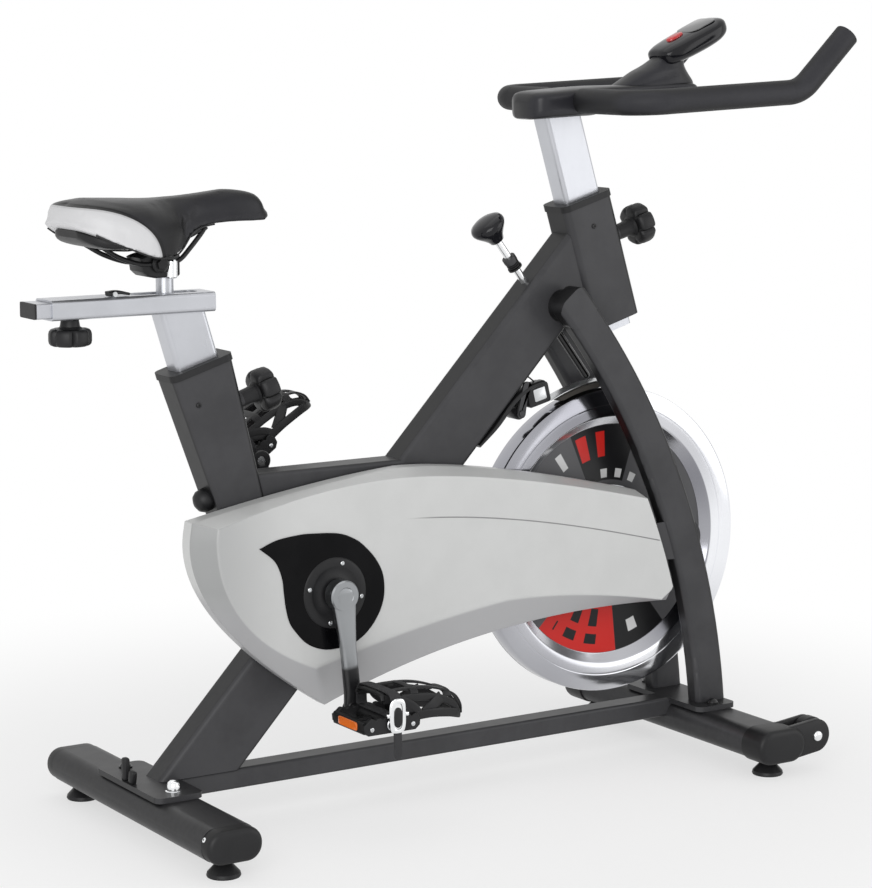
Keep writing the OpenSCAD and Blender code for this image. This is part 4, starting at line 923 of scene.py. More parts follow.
# ---------------------------------------------------------------- finishes in use
PAINT = SteelPaint("frame_paint", (0.046, 0.046, 0.049), 0.38, specular=0.22, painted_edge_shade=0.16, grain=Grain.PEEL,
                   scale=700.0, depth=0.00002, smudge=0.08)
BLACK_PLASTIC = Finish("black_plastic", (0.014, 0.014, 0.015), 0.42, painted_edge_shade=0.3, grain=Grain.MOULDED,
                       scale=1500.0, depth=0.00002, specular=0.25)
GLOSS_BLACK = Finish("gloss_black", (0.005, 0.005, 0.007), 0.14, specular=0.3, scale=200.0, depth=0.00001,
                     smudge=0.04)
CHROME = Finish("chrome", (0.86, 0.87, 0.88), 0.10, metallic=1.0, scale=300.0, depth=0.00001, mottle=0.03,
                smudge=0.05)
BEARING = Finish("bearing_steel", (0.55, 0.56, 0.57), 0.28, metallic=1.0, grain=Grain.BRUSHED)
GUARD = GroovedPlastic("guard_plastic", (0.55, 0.555, 0.55), 0.32, grain=Grain.MOULDED, scale=1200.0, depth=0.00001,
                       mottle=0.02, smudge=0.05)
BELT = TreadRubber("belt_rubber", (0.015, 0.015, 0.015), 0.62, grain=Grain.MOULDED)
DISC = PanelPaint("disc_paint", (0.085, 0.085, 0.09), 0.36, specular=0.3, depth=0.00001, mottle=0.06)
ALUMINIUM = Finish("aluminium", (0.60, 0.61, 0.62), 0.30, metallic=1.0, grain=Grain.CAST, scale=400.0, depth=0.00002,
                   smudge=0.08)
WEBBING = Webbing("webbing", (0.020, 0.020, 0.022), 0.75, depth=0.0003, grain=Grain.PEEL)
SILVER = BrightTube("silver_paint", (0.50, 0.51, 0.54), 0.30, metallic=0.8, scale=900.0, depth=0.000001, mottle=0.03,
                    smudge=0.08, grain=Grain.PEEL)
BLACK_STEEL = Finish("black_steel", (0.012, 0.012, 0.013), 0.30, specular=0.3, scale=500.0)
VINYL = PanelVinyl("saddle_vinyl", (0.018, 0.018, 0.021), 0.38, painted_edge_shade=0.15, specular=0.20, grain=Grain.LEATHER,
                   scale=900.0, depth=0.00006)
FOAM = Finish("grip_foam", (0.022, 0.022, 0.026), 0.58, painted_edge_shade=0.2, specular=0.3, grain=Grain.FOAM, scale=600.0,
              depth=0.00025, smudge=0.05)
RED = Finish("red_plastic", (0.55, 0.010, 0.012), 0.25, coat=0.3)
LEATHER = Finish("brake_leather", (0.030, 0.026, 0.022), 0.80, grain=Grain.FOAM, scale=500.0, depth=0.0003)
MOULDING = Finish("bar_moulding", (0.018, 0.018, 0.022), 0.34, painted_edge_shade=0.2, specular=0.3, grain=Grain.MOULDED,
                  scale=1300.0, depth=0.00004)
WINDOW = Finish("window", (0.004, 0.004, 0.005), 0.06, coat=0.5, scale=100.0, depth=0.00001, smudge=0.02)
REFLECTOR = Finish("reflector", (0.80, 0.16, 0.01), 0.22, coat=0.5, scale=400.0, depth=0.0002)
CRANK_METAL = CrankMetal("crank_metal", (0.30, 0.31, 0.32), 0.30, mottle=0.04, metallic=1.0, scale=300.0,
                         depth=0.00001, smudge=0.08)
WING_GLOSS = Finish("wing_gloss", (0.0015, 0.0015, 0.002), 0.16, scale=200.0, depth=0.000005, smudge=0.03,
                    specular=0.10)
RIM_METAL = RimMetal("rim_metal", (0.8, 0.8, 0.8), 0.14, metallic=1.0, scale=200.0, depth=0.000001, smudge=0.04)
ROD_METAL = RodMetal("rod_metal", (0.80, 0.81, 0.82), 0.16, metallic=0.9, scale=200.0, depth=0.000001)

NODE_FINISH: dict[str, tuple[str, ...]] = {
    "frame_paint": ("main_beam", "head_tube", "seat_tube", "top_tube", "bottom_tube", "stabilisers",
                    "stabiliser_plates", "fork_arms", "bottom_bracket_shell", "brake_mounts"),
    "gloss_black": ("console", "brake_knob"), "rim_metal": ("flywheel_rim",), "rod_metal": ("brake_rod",),
    "bearing_steel": ("flywheel_axle", "bottom_bracket_bearings", "crank_spindle", "pedal_axles", "flywheel_hub"),
    "guard_plastic": ("guard_shell",), "belt_rubber": ("drive_belt",),
    "disc_paint": ("flywheel_disc",), "aluminium": ("crank_arms", "crank_pulley"),
    "webbing": ("toe_strap_right", "toe_strap_left"),
    "silver_paint": ("seat_post", "slider_sleeve", "slider_tube", "handlebar_post"),
    "black_steel": ("handlebar_tube", "brake_lever", "frame_bolts", "saddle_rails", "saddle_clamp"),
    "saddle_vinyl": ("saddle_pad",), "grip_foam": ("bar_grips",),
    "red_plastic": ("console_button",), "brake_leather": ("brake_pad",),
}


# ---------------------------------------------------------------- sub-assemblies
@dataclass
class Saddle:
    """The sprung saddle: padded cover with a pale panel, moulded tray, clamp and bolt."""

    length: float = 318.0
    half_width: float = 92.0
    nose_x: float = -280.7
    tray_top: float = 863.3
    padding: float = 48.0
    wall: float = 8.0
    swell: float = 0.004
    voxel: float = 0.004
    pressure: float = 4.0
    frames: int = 20
    nose_zone: float = 0.060
    stations: int = 56
    sections: tuple[tuple[float, ...], ...] = (
        (0, 0.13, 0.62, 0.34), (0.02, 0.23, 0.90, 0.27), (0.06, 0.29, 1.12, 0.25), (0.16, 0.33, 1.19, 0.26),
        (0.25, 0.34, 1.12, 0.25), (0.36, 0.37, 1.04, 0.16), (0.43, 0.45, 1.0, -0.02), (0.49, 0.55, 0.98, -0.42),
        (0.55, 0.70, 0.96, -0.60), (0.62, 0.85, 0.96, -0.62), (0.69, 0.96, 0.98, -0.56),
        (0.78, 1.0, 1.0, -0.35), (0.88, 0.98, 1.02, -0.10), (0.95, 0.84, 1.0, 0.14), (0.985, 0.66, 0.94, 0.24),
        (1.0, 0.46, 0.83, 0.33))

    def ring(self, share: float, shrink: float = 1.0) -> list[Vector]:
        """One section of the cover, round over the top and open underneath.

        Args:
            share: its place from the nose to the rear.
            shrink: scale of the section about its own middle.

        Returns:
            Its points.
        """
        half, crown, edge = blend_table(self.sections, share)
        x = self.nose_x - self.length * share
        low = self.tray_top + self.padding * edge
        height = self.padding * (crown - edge)
        points = []
        for step in range(41):
            angle = pi * step / 40
            c, s = cos(angle), sin(angle)
            y = self.half_width * half * copysign(abs(c) ** 0.7, c)
            points.append((x, y, low + height * max(s, 0.0) ** 0.55))
        inner = max(self.half_width * half - self.wall, self.half_width * half * 0.6)
        roof = max(low + 0.5, self.tray_top + 0.3)
        points += [(x, -inner, low), (x, -inner, roof), (x, -inner * 0.5, roof), (x, inner * 0.5, roof),
                   (x, inner, roof), (x, inner, low)]
        middle = low + height * 0.5
        return [mm(x, y * shrink, middle + (z - middle) * shrink) for x, y, z in points]

    def cover(self) -> None:
        """The padded cover."""
        form = Form("saddle_cover")
        rings = [[p + mm(1.6, 0, 0) for p in self.ring(0.0, 0.35)], [p + mm(1.0, 0, 0) for p in self.ring(0.0, 0.7)]]
        rings += [self.ring(k / self.stations) for k in range(self.stations + 1)]
        rings += [[p - mm(2.2, 0, 0) for p in self.ring(1.0, 0.8)], [p - mm(3.4, 0, 0) for p in self.ring(1.0, 0.5)]]
        form.loft(rings)
        piece = form.finish(LOOKS["saddle_vinyl"], smooth=50.0)
        self.stuff(piece)
        put(piece, "saddle", "saddle_vinyl", "saddle_pad")

    def give(self, point: Vector) -> float:
        """How far the stuffing may move a point of the cover, in metres."""
        along = max(point.x + PANEL_BEHIND, 0.0) / PANEL_LENGTH
        up = (point.z - PANEL_LEVEL) / PANEL_RISE
        seam = min(1.0, abs(hypot(along, up) - 1.0) / 0.10)
        share = (self.nose_x * 0.001 - point.x) / (self.length * 0.001)
        edge = blend_table(self.sections, min(max(share, 0.0), 1.0))[2]
        low = (self.tray_top + self.padding * edge) * 0.001
        above = min(1.0, max(0.0, (point.z - low - 0.004) / 0.012))
        return self.swell * above * (0.25 + 0.75 * seam)

    def stuff(self, piece: bpy.types.Object) -> None:
        """Swells the cover like stuffed cloth and keeps the result in its mesh.

        Args:
            piece: the cover.
        """
        scene = bpy.context.scene
        skin = bpy.data.objects.new("saddle_stuffing", piece.data.copy())
        scene.collection.objects.link(skin)
        remesh = skin.modifiers.new("remesh", "REMESH")
        remesh.mode = "VOXEL"
        remesh.voxel_size = self.voxel
        skin.data = self.frozen(skin)
        skin.modifiers.clear()
        start = [vert.co.copy() for vert in skin.data.vertices]
        normals = [vert.normal.copy() for vert in skin.data.vertices]
        caps = [self.give(point) for point in start]
        for vert, point, normal, cap in zip(skin.data.vertices, start, normals, caps):
            vert.co = point - normal * cap * 0.5
        start = [vert.co.copy() for vert in skin.data.vertices]
        cloth = skin.modifiers.new("stuffing", "CLOTH")
        cloth.settings.use_pressure = True
        cloth.settings.uniform_pressure_force = self.pressure
        cloth.settings.effector_weights.gravity = 0.0
        for step in range(1, self.frames + 1):
            scene.frame_set(step)
        swollen = self.frozen(skin)
        skin.modifiers.clear()
        for vert, point, cap in zip(swollen.vertices, start, caps):
            move = vert.co - point
            vert.co = point + move * min(1.0, cap / max(move.length, 1e-9))
        scene.frame_set(1)
        cover = bmesh.new()
        cover.from_mesh(swollen)
        self.soften(cover, cover.verts)
        bmesh.ops.subdivide_edges(cover, edges=cover.edges, cuts=1, smooth=1.0, use_grid_fill=True)
        self.soften(cover, cover.verts)
        nose = [vert for vert in cover.verts if vert.co.x > self.nose_x * 0.001 - self.nose_zone]
        for _ in range(6):
            self.soften(cover, nose)
        bmesh.ops.recalc_face_normals(cover, faces=cover.faces)
        cover.to_mesh(piece.data)
        cover.free()
        for polygon in piece.data.polygons:
            polygon.use_smooth = True
        bpy.data.objects.remove(skin)
        LOG.info("stuffed %s: %d faces", piece.name, len(piece.data.polygons))

    @staticmethod
    def soften(cover: bmesh.types.BMesh, verts: Sequence[bmesh.types.BMVert]) -> None:
        """Smooths some points of the cover once."""
        bmesh.ops.smooth_vert(cover, verts=verts, factor=0.5, use_axis_x=True, use_axis_y=True, use_axis_z=True)

    @staticmethod
    def frozen(piece: bpy.types.Object) -> bpy.types.Mesh:
        """A piece's mesh with its modifiers applied."""
        graph = bpy.context.evaluated_depsgraph_get()
        return bpy.data.meshes.new_from_object(piece.evaluated_get(graph))

    def piping(self) -> None:
        """A thin welt around the cover's lower edge."""
        form = Form("saddle_welt")
        left = []
        for k in range(17, 54):
            half, _, edge = blend_table(self.sections, k / self.stations)
            left.append(mm(self.nose_x - self.length * k / self.stations, self.half_width * half - 1.0,
                           self.tray_top + self.padding * edge - 0.4))
        sweep(form, left, ACROSS, 0.0013, 0.0013, count=8)
        form.mirror_y()
        form.place("saddle", "black_plastic")

    def tray(self) -> None:
        """The moulded tray, with a deep rounded tail."""
        table = ((96, 10, 868, 865), (104, 19, 869, 863), (116, 23, 868, 860),
                 (128, 27, 866, 855), (150, 38, 863.6, 852), (200, 62, 863.6, 851), (240, 76, 863.6, 848),
                 (270, 78, 866, 846), (290, 68, 869, 850), (302, 52, 871, 856), (308, 36, 872, 862))
        form = Form("saddle_tray")
        rings = []
        for share in [k / 40 for k in range(41)]:
            u = 96 + (308 - 96) * share
            half, top, low = blend_table(table, u)
            rings.append(oval(mm(self.nose_x - u, 0, (top + low) / 2), ACROSS, UP,
                              half * 0.001, (top - low) / 2000, count=32, power=4.0))
        form.loft(rings)
        form.place("saddle", "black_plastic", "saddle_base")

    def rails(self) -> None:
        """The two bent rails under the tray."""
        form = Form("saddle_wires")
        for y in (-22, 22):
            points = [mm(-578, y * 1.3, 858), mm(-556, y * 1.25, 852), mm(-525, y * 1.05, 834), mm(-492, y, 822.5),
                      mm(-470, y, 821.3), mm(-444, y, 821.3), mm(-427, y, 826), mm(-411, y * 0.97, 841),
                      mm(-395, y * 0.92, 858), mm(-387, y * 0.9, 868)]
            sweep(form, smooth_path(points, 6), ACROSS, 0.0035, 0.0035, 14)
        form.place("saddle", "black_steel", "saddle_rails", smooth=50)

    def clamp(self) -> None:
        """The clamp block under the rails, with its through bolt."""
        pin = mm(-440.7, 0, 800.3)
        outline = [(-50, 30), (-46, 22), (-44, 10), (-36, 3), (-24, 0.4), (10, 0.4), (14, 4), (14, 32), (8, 35),
                   (-34, 35), (-42, 33)]
        form = Form("saddle_clamp_block")
        rings = [[pin + mm(x * s + (1 - s) * -16, y, z * s + (1 - s) * 18) for x, z in outline]
                 for y, s in ((-23, 0.86), (-21, 0.97), (-17, 1.0), (17, 1.0), (21, 0.97), (23, 0.86))]
        form.loft(rings)
        form.turn(((0, -30), (10, -30), (13, -27), (13, 27), (10, 30), (0, 30)), pin + mm(-19, 0, 21.1), ACROSS, 40)
        for y in (-1, 1):
            hex_nut(form, pin + mm(-19, y * 30, 21.1), Vector((0, y, 0)), 0.0085, 0.005)
        form.place("saddle", "black_plastic", "saddle_clamp", smooth=35)
        bolt = Form("saddle_clamp_bolt")
        bolt.turn(((0, -2), (7, -2), (8.6, 0), (8.6, 22), (7.4, 24), (0, 24)), pin + mm(-1, -23, 2), UP, 28)
        bolt.place("saddle", "chrome", smooth=30)

    def build(self) -> None:
        """Builds the saddle."""
        self.cover()
        self.piping()
        self.tray()
        self.rails()
        self.clamp()


def hex_nut(form: Form, at: Vector, axis: Vector, radius: float, height: float) -> None:
    """Adds a hexagonal nut with bevelled corners.

    Args:
        form: the form it is added to.
        at: middle of its seat.
        axis: direction in which it stands up.
        radius: half its width across corners.
        height: its height.
    """
    axis = axis.normalized()
    side = axis.orthogonal().normalized()
    up = axis.cross(side)
    rings = []
    for along, scale in ((0.0, 1.0), (height * 0.85, 1.0), (height, 0.88)):
        rings.append([at + axis * along + (side * cos(a) + up * sin(a)) * radius * scale
                      for a in (pi * k / 3 for k in range(6))])
    form.loft(rings)


def screw_head(form: Form, at: Vector, axis: Vector, radius: float) -> None:
    """Adds a low round screw head with a socket.

    Args:
        form: the form it is added to.
        at: middle of its seat.
        axis: direction in which it stands up.
        radius: its radius.
    """
    r = radius
    form.lathe([(0, 0.18 * r), (0.42 * r, 0.18 * r), (0.42 * r, 0.52 * r), (0.72 * r, 0.5 * r), (0.93 * r, 0.34 * r),
                (r, 0.1 * r), (r, -0.2 * r), (0, -0.2 * r)], at, axis, 24)


@dataclass
class ClampKnob:
    """A lobed hand knob on its screw."""

    name: str
    node: str
    start: Vector
    axis: Vector
    gap: float
    radius: float = 32.0
    height: float = 28.0
    lobes: int = 6

    def build(self) -> None:
        """Builds the knob, its collar and the screw."""
        axis = self.axis.normalized()
        side = axis.orthogonal().normalized()
        up = axis.cross(side)
        form = Form(self.name)
        rings = []
        levels = ((0.0, 0.55), (0.0, 0.80), (0.05, 0.90), (0.16, 0.97), (0.32, 1.0), (0.70, 1.0), (0.86, 0.97),
                  (0.95, 0.90), (1.0, 0.80), (1.0, 0.62), (0.95, 0.56), (0.93, 0.30))
        for level, scale in levels:
            ring = []
            for k in range(96):
                a = 2 * pi * k / 96
                dip = max(0.0, -cos(self.lobes * a)) ** 5
                r = self.radius * scale * (1 - 0.15 * dip * min(1.0, max(0.0, (scale - 0.5) / 0.3)))
                ring.append(self.start + (side * cos(a) + up * sin(a)) * r * 0.001
                            + axis * (self.gap + self.height * level) * 0.001)
            rings.append(ring)
        form.loft(rings)
        reach = self.gap - 9
        collar = [(0, -reach), (10.5, -reach), (12, 1.5 - reach), (12.5, -12), (14, -3), (18, 0.4), (0, 0.4)]
        form.turn([(r, self.gap + h) for r, h in collar], self.start, axis, 40)
        form.place(self.node, "black_plastic", self.node)
        screw = Form(self.name + "_screw")
        thread = [(0, 0)]
        turns = int(8 / 1.6)
        for k in range(turns):
            thread += [(4.3, 1.6 * k + 0.1), (4.9, 1.6 * k + 0.8), (4.3, 1.6 * k + 1.5)]
        thread += [(4.3, 9.2), (0, 9.2)]
        screw.turn(thread, self.start, axis, 24)
        screw.place(self.node, "bearing_steel", smooth=20)


@dataclass
class Guard:
    """The drive's guard: bevelled shell with a groove along its face, dark insert and crank cover."""

    wall: float = 2.5
    inner_y: float = -32.0
    face_y: float = -82.0
    front: float = 1128.8
    hole: float = 48.0
    fork_half: float = 33.5
    notch_y: Flat = (-0.0691, -0.0589)
    notch_half: float = 0.0336
    notch_start: float = 1.12
    corner: tuple[Flat, Flat] = ((582.0, -85.5), (616.0, -61.5))
    screw_angles: tuple[float, ...] = (75.0, -12.0, -102.0, 168.0)

    def outline(self) -> list[list[Flat]]:
        """The straight side's stretches: top rear, top front, underside, rear."""
        wx, wz = self.wheel
        return [bezier((-214, 118), (-10, 158), (130, 167), 24), bezier((130, 167), (280, 168), (wx + 90, wz + 65), 60),
                bezier((wx + 90, wz - 99), (290, -66), (0, -172), 90),
                bezier((0, -172), (-234, -20), (-217, 100), 40) + [(-214, 118)]]

    def crease(self) -> list[list[Flat]]:
        """The outer face's stretches, matching the outline's."""
        wx, wz = self.wheel
        low = bezier((wx + 84, wz - 97), (wx - 110, wz - 53), (300, -45), 40)
        low += bezier((300, -45), (140, -62), (-31, -106), 40)[1:]
        return [bezier((-185, 110), (-30, 157), (110, 157), 24), bezier((110, 157), (300, 154), (wx + 84, wz + 57), 60),
                low, bezier((-31, -106), (-188, -44), (-187, 96), 40) + [(-185, 110)]]

    def loop(self, stretches: list[list[Flat]]) -> list[Flat]:
        """One closed loop of points, cut along the arc before the fork arms.

        Args:
            stretches: the four stretches.

        Returns:
            The points as distances from the crank's axis.
        """
        rear, top, under, back = stretches
        centre = self.arc_centre
        top = self.cut(top)
        under = self.cut(under[::-1])[::-1]
        start = atan2(top[-1][1] - centre[1], top[-1][0] - centre[0])
        stop = atan2(under[0][1] - centre[1], under[0][0] - centre[0])
        high = asin((self.wheel[1] + self.fork_half - centre[1]) / self.front)
        low = asin((self.wheel[1] - self.fork_half - centre[1]) / self.front)
        angles = [start + (high - start) * k / 5 for k in range(1, 6)]
        angles += [high + (low - high) * k / 4 for k in range(1, 5)]
        angles += [low + (stop - low) * k / 5 for k in range(1, 5)]
        arc = [(centre[0] + self.front * cos(a), centre[1] + self.front * sin(a)) for a in angles]
        return (resample(rear, 28)[:-1] + resample(top, 60) + arc + resample(under, 90)[:-1]
                + resample(back, 44)[:-1])

    @property
    def wheel(self) -> Flat:
        """The flywheel's axis from the crank's, in millimetres."""
        return (WHEEL - CRANK).x * 1000, (WHEEL - CRANK).z * 1000

    @property
    def arc_centre(self) -> Flat:
        """Middle of the arc before the fork arms, from the crank's axis."""
        return (ARM_CENTRE - CRANK).x * 1000, (ARM_CENTRE - CRANK).z * 1000

    def inside(self, point: Flat) -> float:
        """How far a point lies inside that arc."""
        return self.front - hypot(point[0] - self.arc_centre[0], point[1] - self.arc_centre[1])

    def cut(self, points: list[Flat]) -> list[Flat]:
        """The part of a polyline up to where it meets the arc before the fork arms.

        Args:
            points: the polyline.

        Returns:
            The kept part.
        """
        kept = [points[0]]
        for a, b in zip(points, points[1:]):
            fa, fb = self.inside(a), self.inside(b)
            if fb < 0:
                t = fa / (fa - fb)
                kept.append((a[0] + (b[0] - a[0]) * t, a[1] + (b[1] - a[1]) * t))
                break
            kept.append(b)
        return kept

    @staticmethod
    def inset(loop: Sequence[Flat], depth: float) -> list[Flat]:
        """A clockwise loop moved inwards.

        Args:
            loop: its points.
            depth: how far they move.

        Returns:
            The moved points.
        """
        made = []
        for before, here, after in zip(loop[-1:] + loop[:-1], loop, loop[1:] + loop[:1]):
            tx, tz = after[0] - before[0], after[1] - before[1]
            size = hypot(tx, tz)
            made.append((here[0] + tz / size * depth, here[1] - tx / size * depth))
        return made

    def chamfer(self, loop: Sequence[Flat]) -> list[Flat]:
        """A loop with its front lower corner cut off."""
        (ax, az), (bx, bz) = self.corner
        size = hypot(bx - ax, bz - az)
        nx, nz = (bz - az) / size, -(bx - ax) / size
        made = []
        for x, z in loop:
            over = max(0.0, (x - ax) * nx + (z - az) * nz)
            made.append((x - nx * over, z - nz * over))
        return made

    def shell(self) -> None:
        """The pale bevelled shell."""
        side = self.loop(self.outline())
        face = self.chamfer(self.loop(self.crease()))
        form = Form("guard_cover")
        rings = []
        levels = ((self.inner_y, 0.0), (-52.6, 0.0), (-53.5, 0.004), (-54.4, 0.020), (-55.6, 0.058), (-59.0, 0.179),
                  (-69.0, 0.536), (-79.6, 0.914), (-80.5, 0.948), (-81.2, 0.978))
        for y, t in levels:
            rings.append([CRANK + mm(a[0] + (b[0] - a[0]) * t, y, a[1] + (b[1] - a[1]) * t)
                          for a, b in zip(side, face)])
        for y, depth in ((-81.7, 0.3), (-81.93, 1.6), (self.face_y, 2.8), (self.face_y, 4.0)):
            rings.append([CRANK + mm(x, y, z) for x, z in self.inset(face, depth)])
        last = form.skin(rings)[1]
        hole = form.ring([CRANK + mm(self.hole * cos(a), self.face_y, self.hole * sin(a)) for a in even_turn(72)])
        form.plate(last, hole, normal=Vector((0, -1, 0)))
        form.grow(hole, [v.co + mm(0, 3.5, 0) for v in hole[0]])
        notch = []
        for face in form.mesh.faces:
            at = face.calc_center_median()
            level = self.notch_y[0] < at.y < self.notch_y[1] and abs(at.z - WHEEL.z) < self.notch_half
            if level and (at - ARM_CENTRE).length > self.notch_start:
                notch.append(face)
        bmesh.ops.delete(form.mesh, geom=notch, context="FACES")
        form.weld(0.00003)
        form.thicken(-self.wall * 0.001)
        form.place("frame", "guard_plastic", "guard_shell", smooth=36)

    def insert(self) -> None:
        """The dark insert with its pointed wing, the round cover on it and its screws."""
        wing = [(-122, 76), (-94, 86), (-60, 90), (-37, 90), (7, 86), (35, 75), (52, 62), (70, 42), (82, 18), (84, -11),
                (77, -35), (63, -56), (46, -71), (26, -80), (-7, -83), (-30, -78), (-48, -68), (-63, -52), (-74, -36),
                (-80, -14), (-83, 8), (-86, 30), (-97, 55)]
        path = [(p.x * 1000, p.z * 1000) for p in
                smooth_path([mm(x, 0, z) for x, z in wing] + [mm(-122, 0, 76)], 5)[:-1]]
        form = Form("guard_wing")
        rings = [[CRANK + mm(x, y, z) for x, z in self.inset(path, depth)]
                 for y, depth in ((-81.9, 0.0), (-83.1, 0.0), (-83.7, 0.35), (-84.0, 1.0), (-84.0, 1.6))]
        last = form.skin(rings)[1]
        hole = form.ring([CRANK + mm(self.hole * cos(a), -84.0, self.hole * sin(a)) for a in even_turn(64)])
        form.plate(last, hole, normal=Vector((0, -1, 0)))
        form.grow(hole, [v.co + mm(0, 2.0, 0) for v in hole[0]])
        form.place("frame", "black_plastic", "guard_insert", look="wing_gloss")
        cover = Form("crank_disc")
        profile = [(13.5, -84.2), (17, -86.4), (24, -86.8), (27, -85.6), (36, -85.2), (38, -86.2), (40, -86.6),
                   (48, -86.6), (50.6, -86.0), (52, -84.4), (52, -82.0), (13.5, -82.0), (13.5, -84.2)]
        cover.turn(profile, CRANK, ACROSS, 96)
        cover.place("frame", "black_plastic", "crank_cover", smooth=35)
        screws = Form("crank_disc_screws")
        for degrees in self.screw_angles:
            a = radians(degrees)
            screw_head(screws, CRANK + mm(44 * cos(a), -86.5, 44 * sin(a)), Vector((0, -1, 0)), 0.0034)
        screws.place("frame", "bearing_steel", smooth=30)

    def build(self) -> None:
        """Builds the guard."""
        self.shell()
        self.insert()


def even_turn(count: int) -> list[float]:
    """Angles of one clockwise turn in even steps."""
    return [-2 * pi * k / count for k in range(count)]


def resample(points: Sequence[Flat], count: int) -> list[Flat]:
    """Points at even distances along a polyline.

    Args:
        points: the polyline.
        count: number of steps.

    Returns:
        count + 1 points.
    """
    lengths = [0.0]
    for a, b in zip(points, points[1:]):
        lengths.append(lengths[-1] + dist(a, b))
    made = []
    index = 0
    for step in range(count + 1):
        want = lengths[-1] * step / count
        while index < len(points) - 2 and lengths[index + 1] < want:
            index += 1
        t = (want - lengths[index]) / max(lengths[index + 1] - lengths[index], 1e-9)
        a, b = points[index], points[index + 1]
        made.append((a[0] + (b[0] - a[0]) * t, a[1] + (b[1] - a[1]) * t))
    return made


@dataclass
class Cockpit:
    """The handlebar's moulded centre, its neck and the console."""

    button_x: float = -18.0

    def centre(self) -> None:
        """The moulding over the post and its bridge forward to the console's neck."""
        table = ((-84, 20, -22, 4), (-80, 32, -24, 12), (-70, 40, -24, 17), (-40, 42, -24, 18.5), (0, 42, -24, 19.5),
                 (30, 41, -24, 19.5), (42, 38, -20, 19.5), (60, 32, -10, 19), (90, 28, -5, 18), (150, 27, -4, 17.5),
                 (200, 27, -4, 17), (228, 24, -3, 14), (238, 16, 1, 10))
        form = Form("bar_centre")
        rings = []
        for k in range(61):
            x = -84 + 322 * k / 60
            half, low, top = blend_table(table, x)
            rings.append(oval(BAR.at(x, 0, (low + top) / 2), ACROSS, BAR.way(0, 0, 1), half * 0.001,
                              (top - low) / 2000, count=48, power=4.5))
        form.loft(rings)
        neck = ((2, 62, 236, 22), (10, 76, 238, 24), (17, 88, 236, 26), (26, 106, 229, 26.5), (36, 126, 222, 25),
                (44, 146, 219, 22), (52, 162, 220, 20), (58, 172, 224, 20), (63, 178, 228, 20))
        rings = []
        for k in range(33):
            z = 2 + 61 * k / 32
            back, front, half = blend_table(neck, z)
            rings.append(oval(BAR.at((back + front) / 2, 0, z), BAR.way(1, 0, 0), ACROSS,
                              (front - back) / 2000, half * 0.001, count=48, power=2.6))
        form.loft(rings)
        form.place("handlebar", "black_plastic", "bar_mount", look="bar_moulding", smooth=60)

    def console(self) -> None:
        """The console's body with its display window."""
        table = ((-64, 13, -12, -2), (-62, 21, -17, 2), (-56, 28, -21.5, 5.5), (-39, 34, -25, 8.0), (3, 37, -27, 9),
                 (39, 36, -26, 8.6), (57, 31, -22, 7.4), (66, 23, -16, 4.6), (70, 14, -11, 0))
        form = Form("console_body")
        rings = []
        for k in range(57):
            x = -64 + 134 * k / 56
            half, low, top = blend_table(table, x)
            rings.append(oval(CONSOLE.at(x, 0, (low + top) / 2), ACROSS, CONSOLE.way(0, 0, 1),
                              half * 0.001, (top - low) / 2000, count=48, power=3.0))
        form.loft(rings)
        form.place("handlebar", "gloss_black", "console", smooth=60)
        window = Form("console_window")
        outline = [CONSOLE.at(p.x * 1000 + 27, p.y * 1000, 8.0) for p in
                   oval(Vector(), AHEAD, ACROSS, 0.026, 0.024, count=40, power=5.0)]
        lift = CONSOLE.way(0, 0, 1) * 0.0012
        middle = CONSOLE.at(27, 0, 8.0)
        window.loft([outline, [p + lift for p in outline],
                     [middle + (p - middle) * 0.96 + lift * 1.2 for p in outline]])
        window.place("handlebar", "gloss_black", look="window", smooth=30)

    def button(self) -> None:
        """The oval push button."""
        form = Form("console_oval")
        rings = []
        for z, s in ((5.2, 1.0), (10.6, 1.0), (11.6, 0.94), (12.2, 0.80), (12.5, 0.5)):
            rings.append([CONSOLE.at(self.button_x + p.x * 1000, p.y * 1000, z) for p in
                          oval(Vector(), AHEAD, ACROSS, 0.015 * s, 0.009 * s, count=40, power=2.3)])
        form.loft(rings)
        form.place("console_button", "red_plastic", "console_button", smooth=50)

    def build(self) -> None:
        """Builds the cockpit."""
        self.centre()
        self.console()
        self.button()


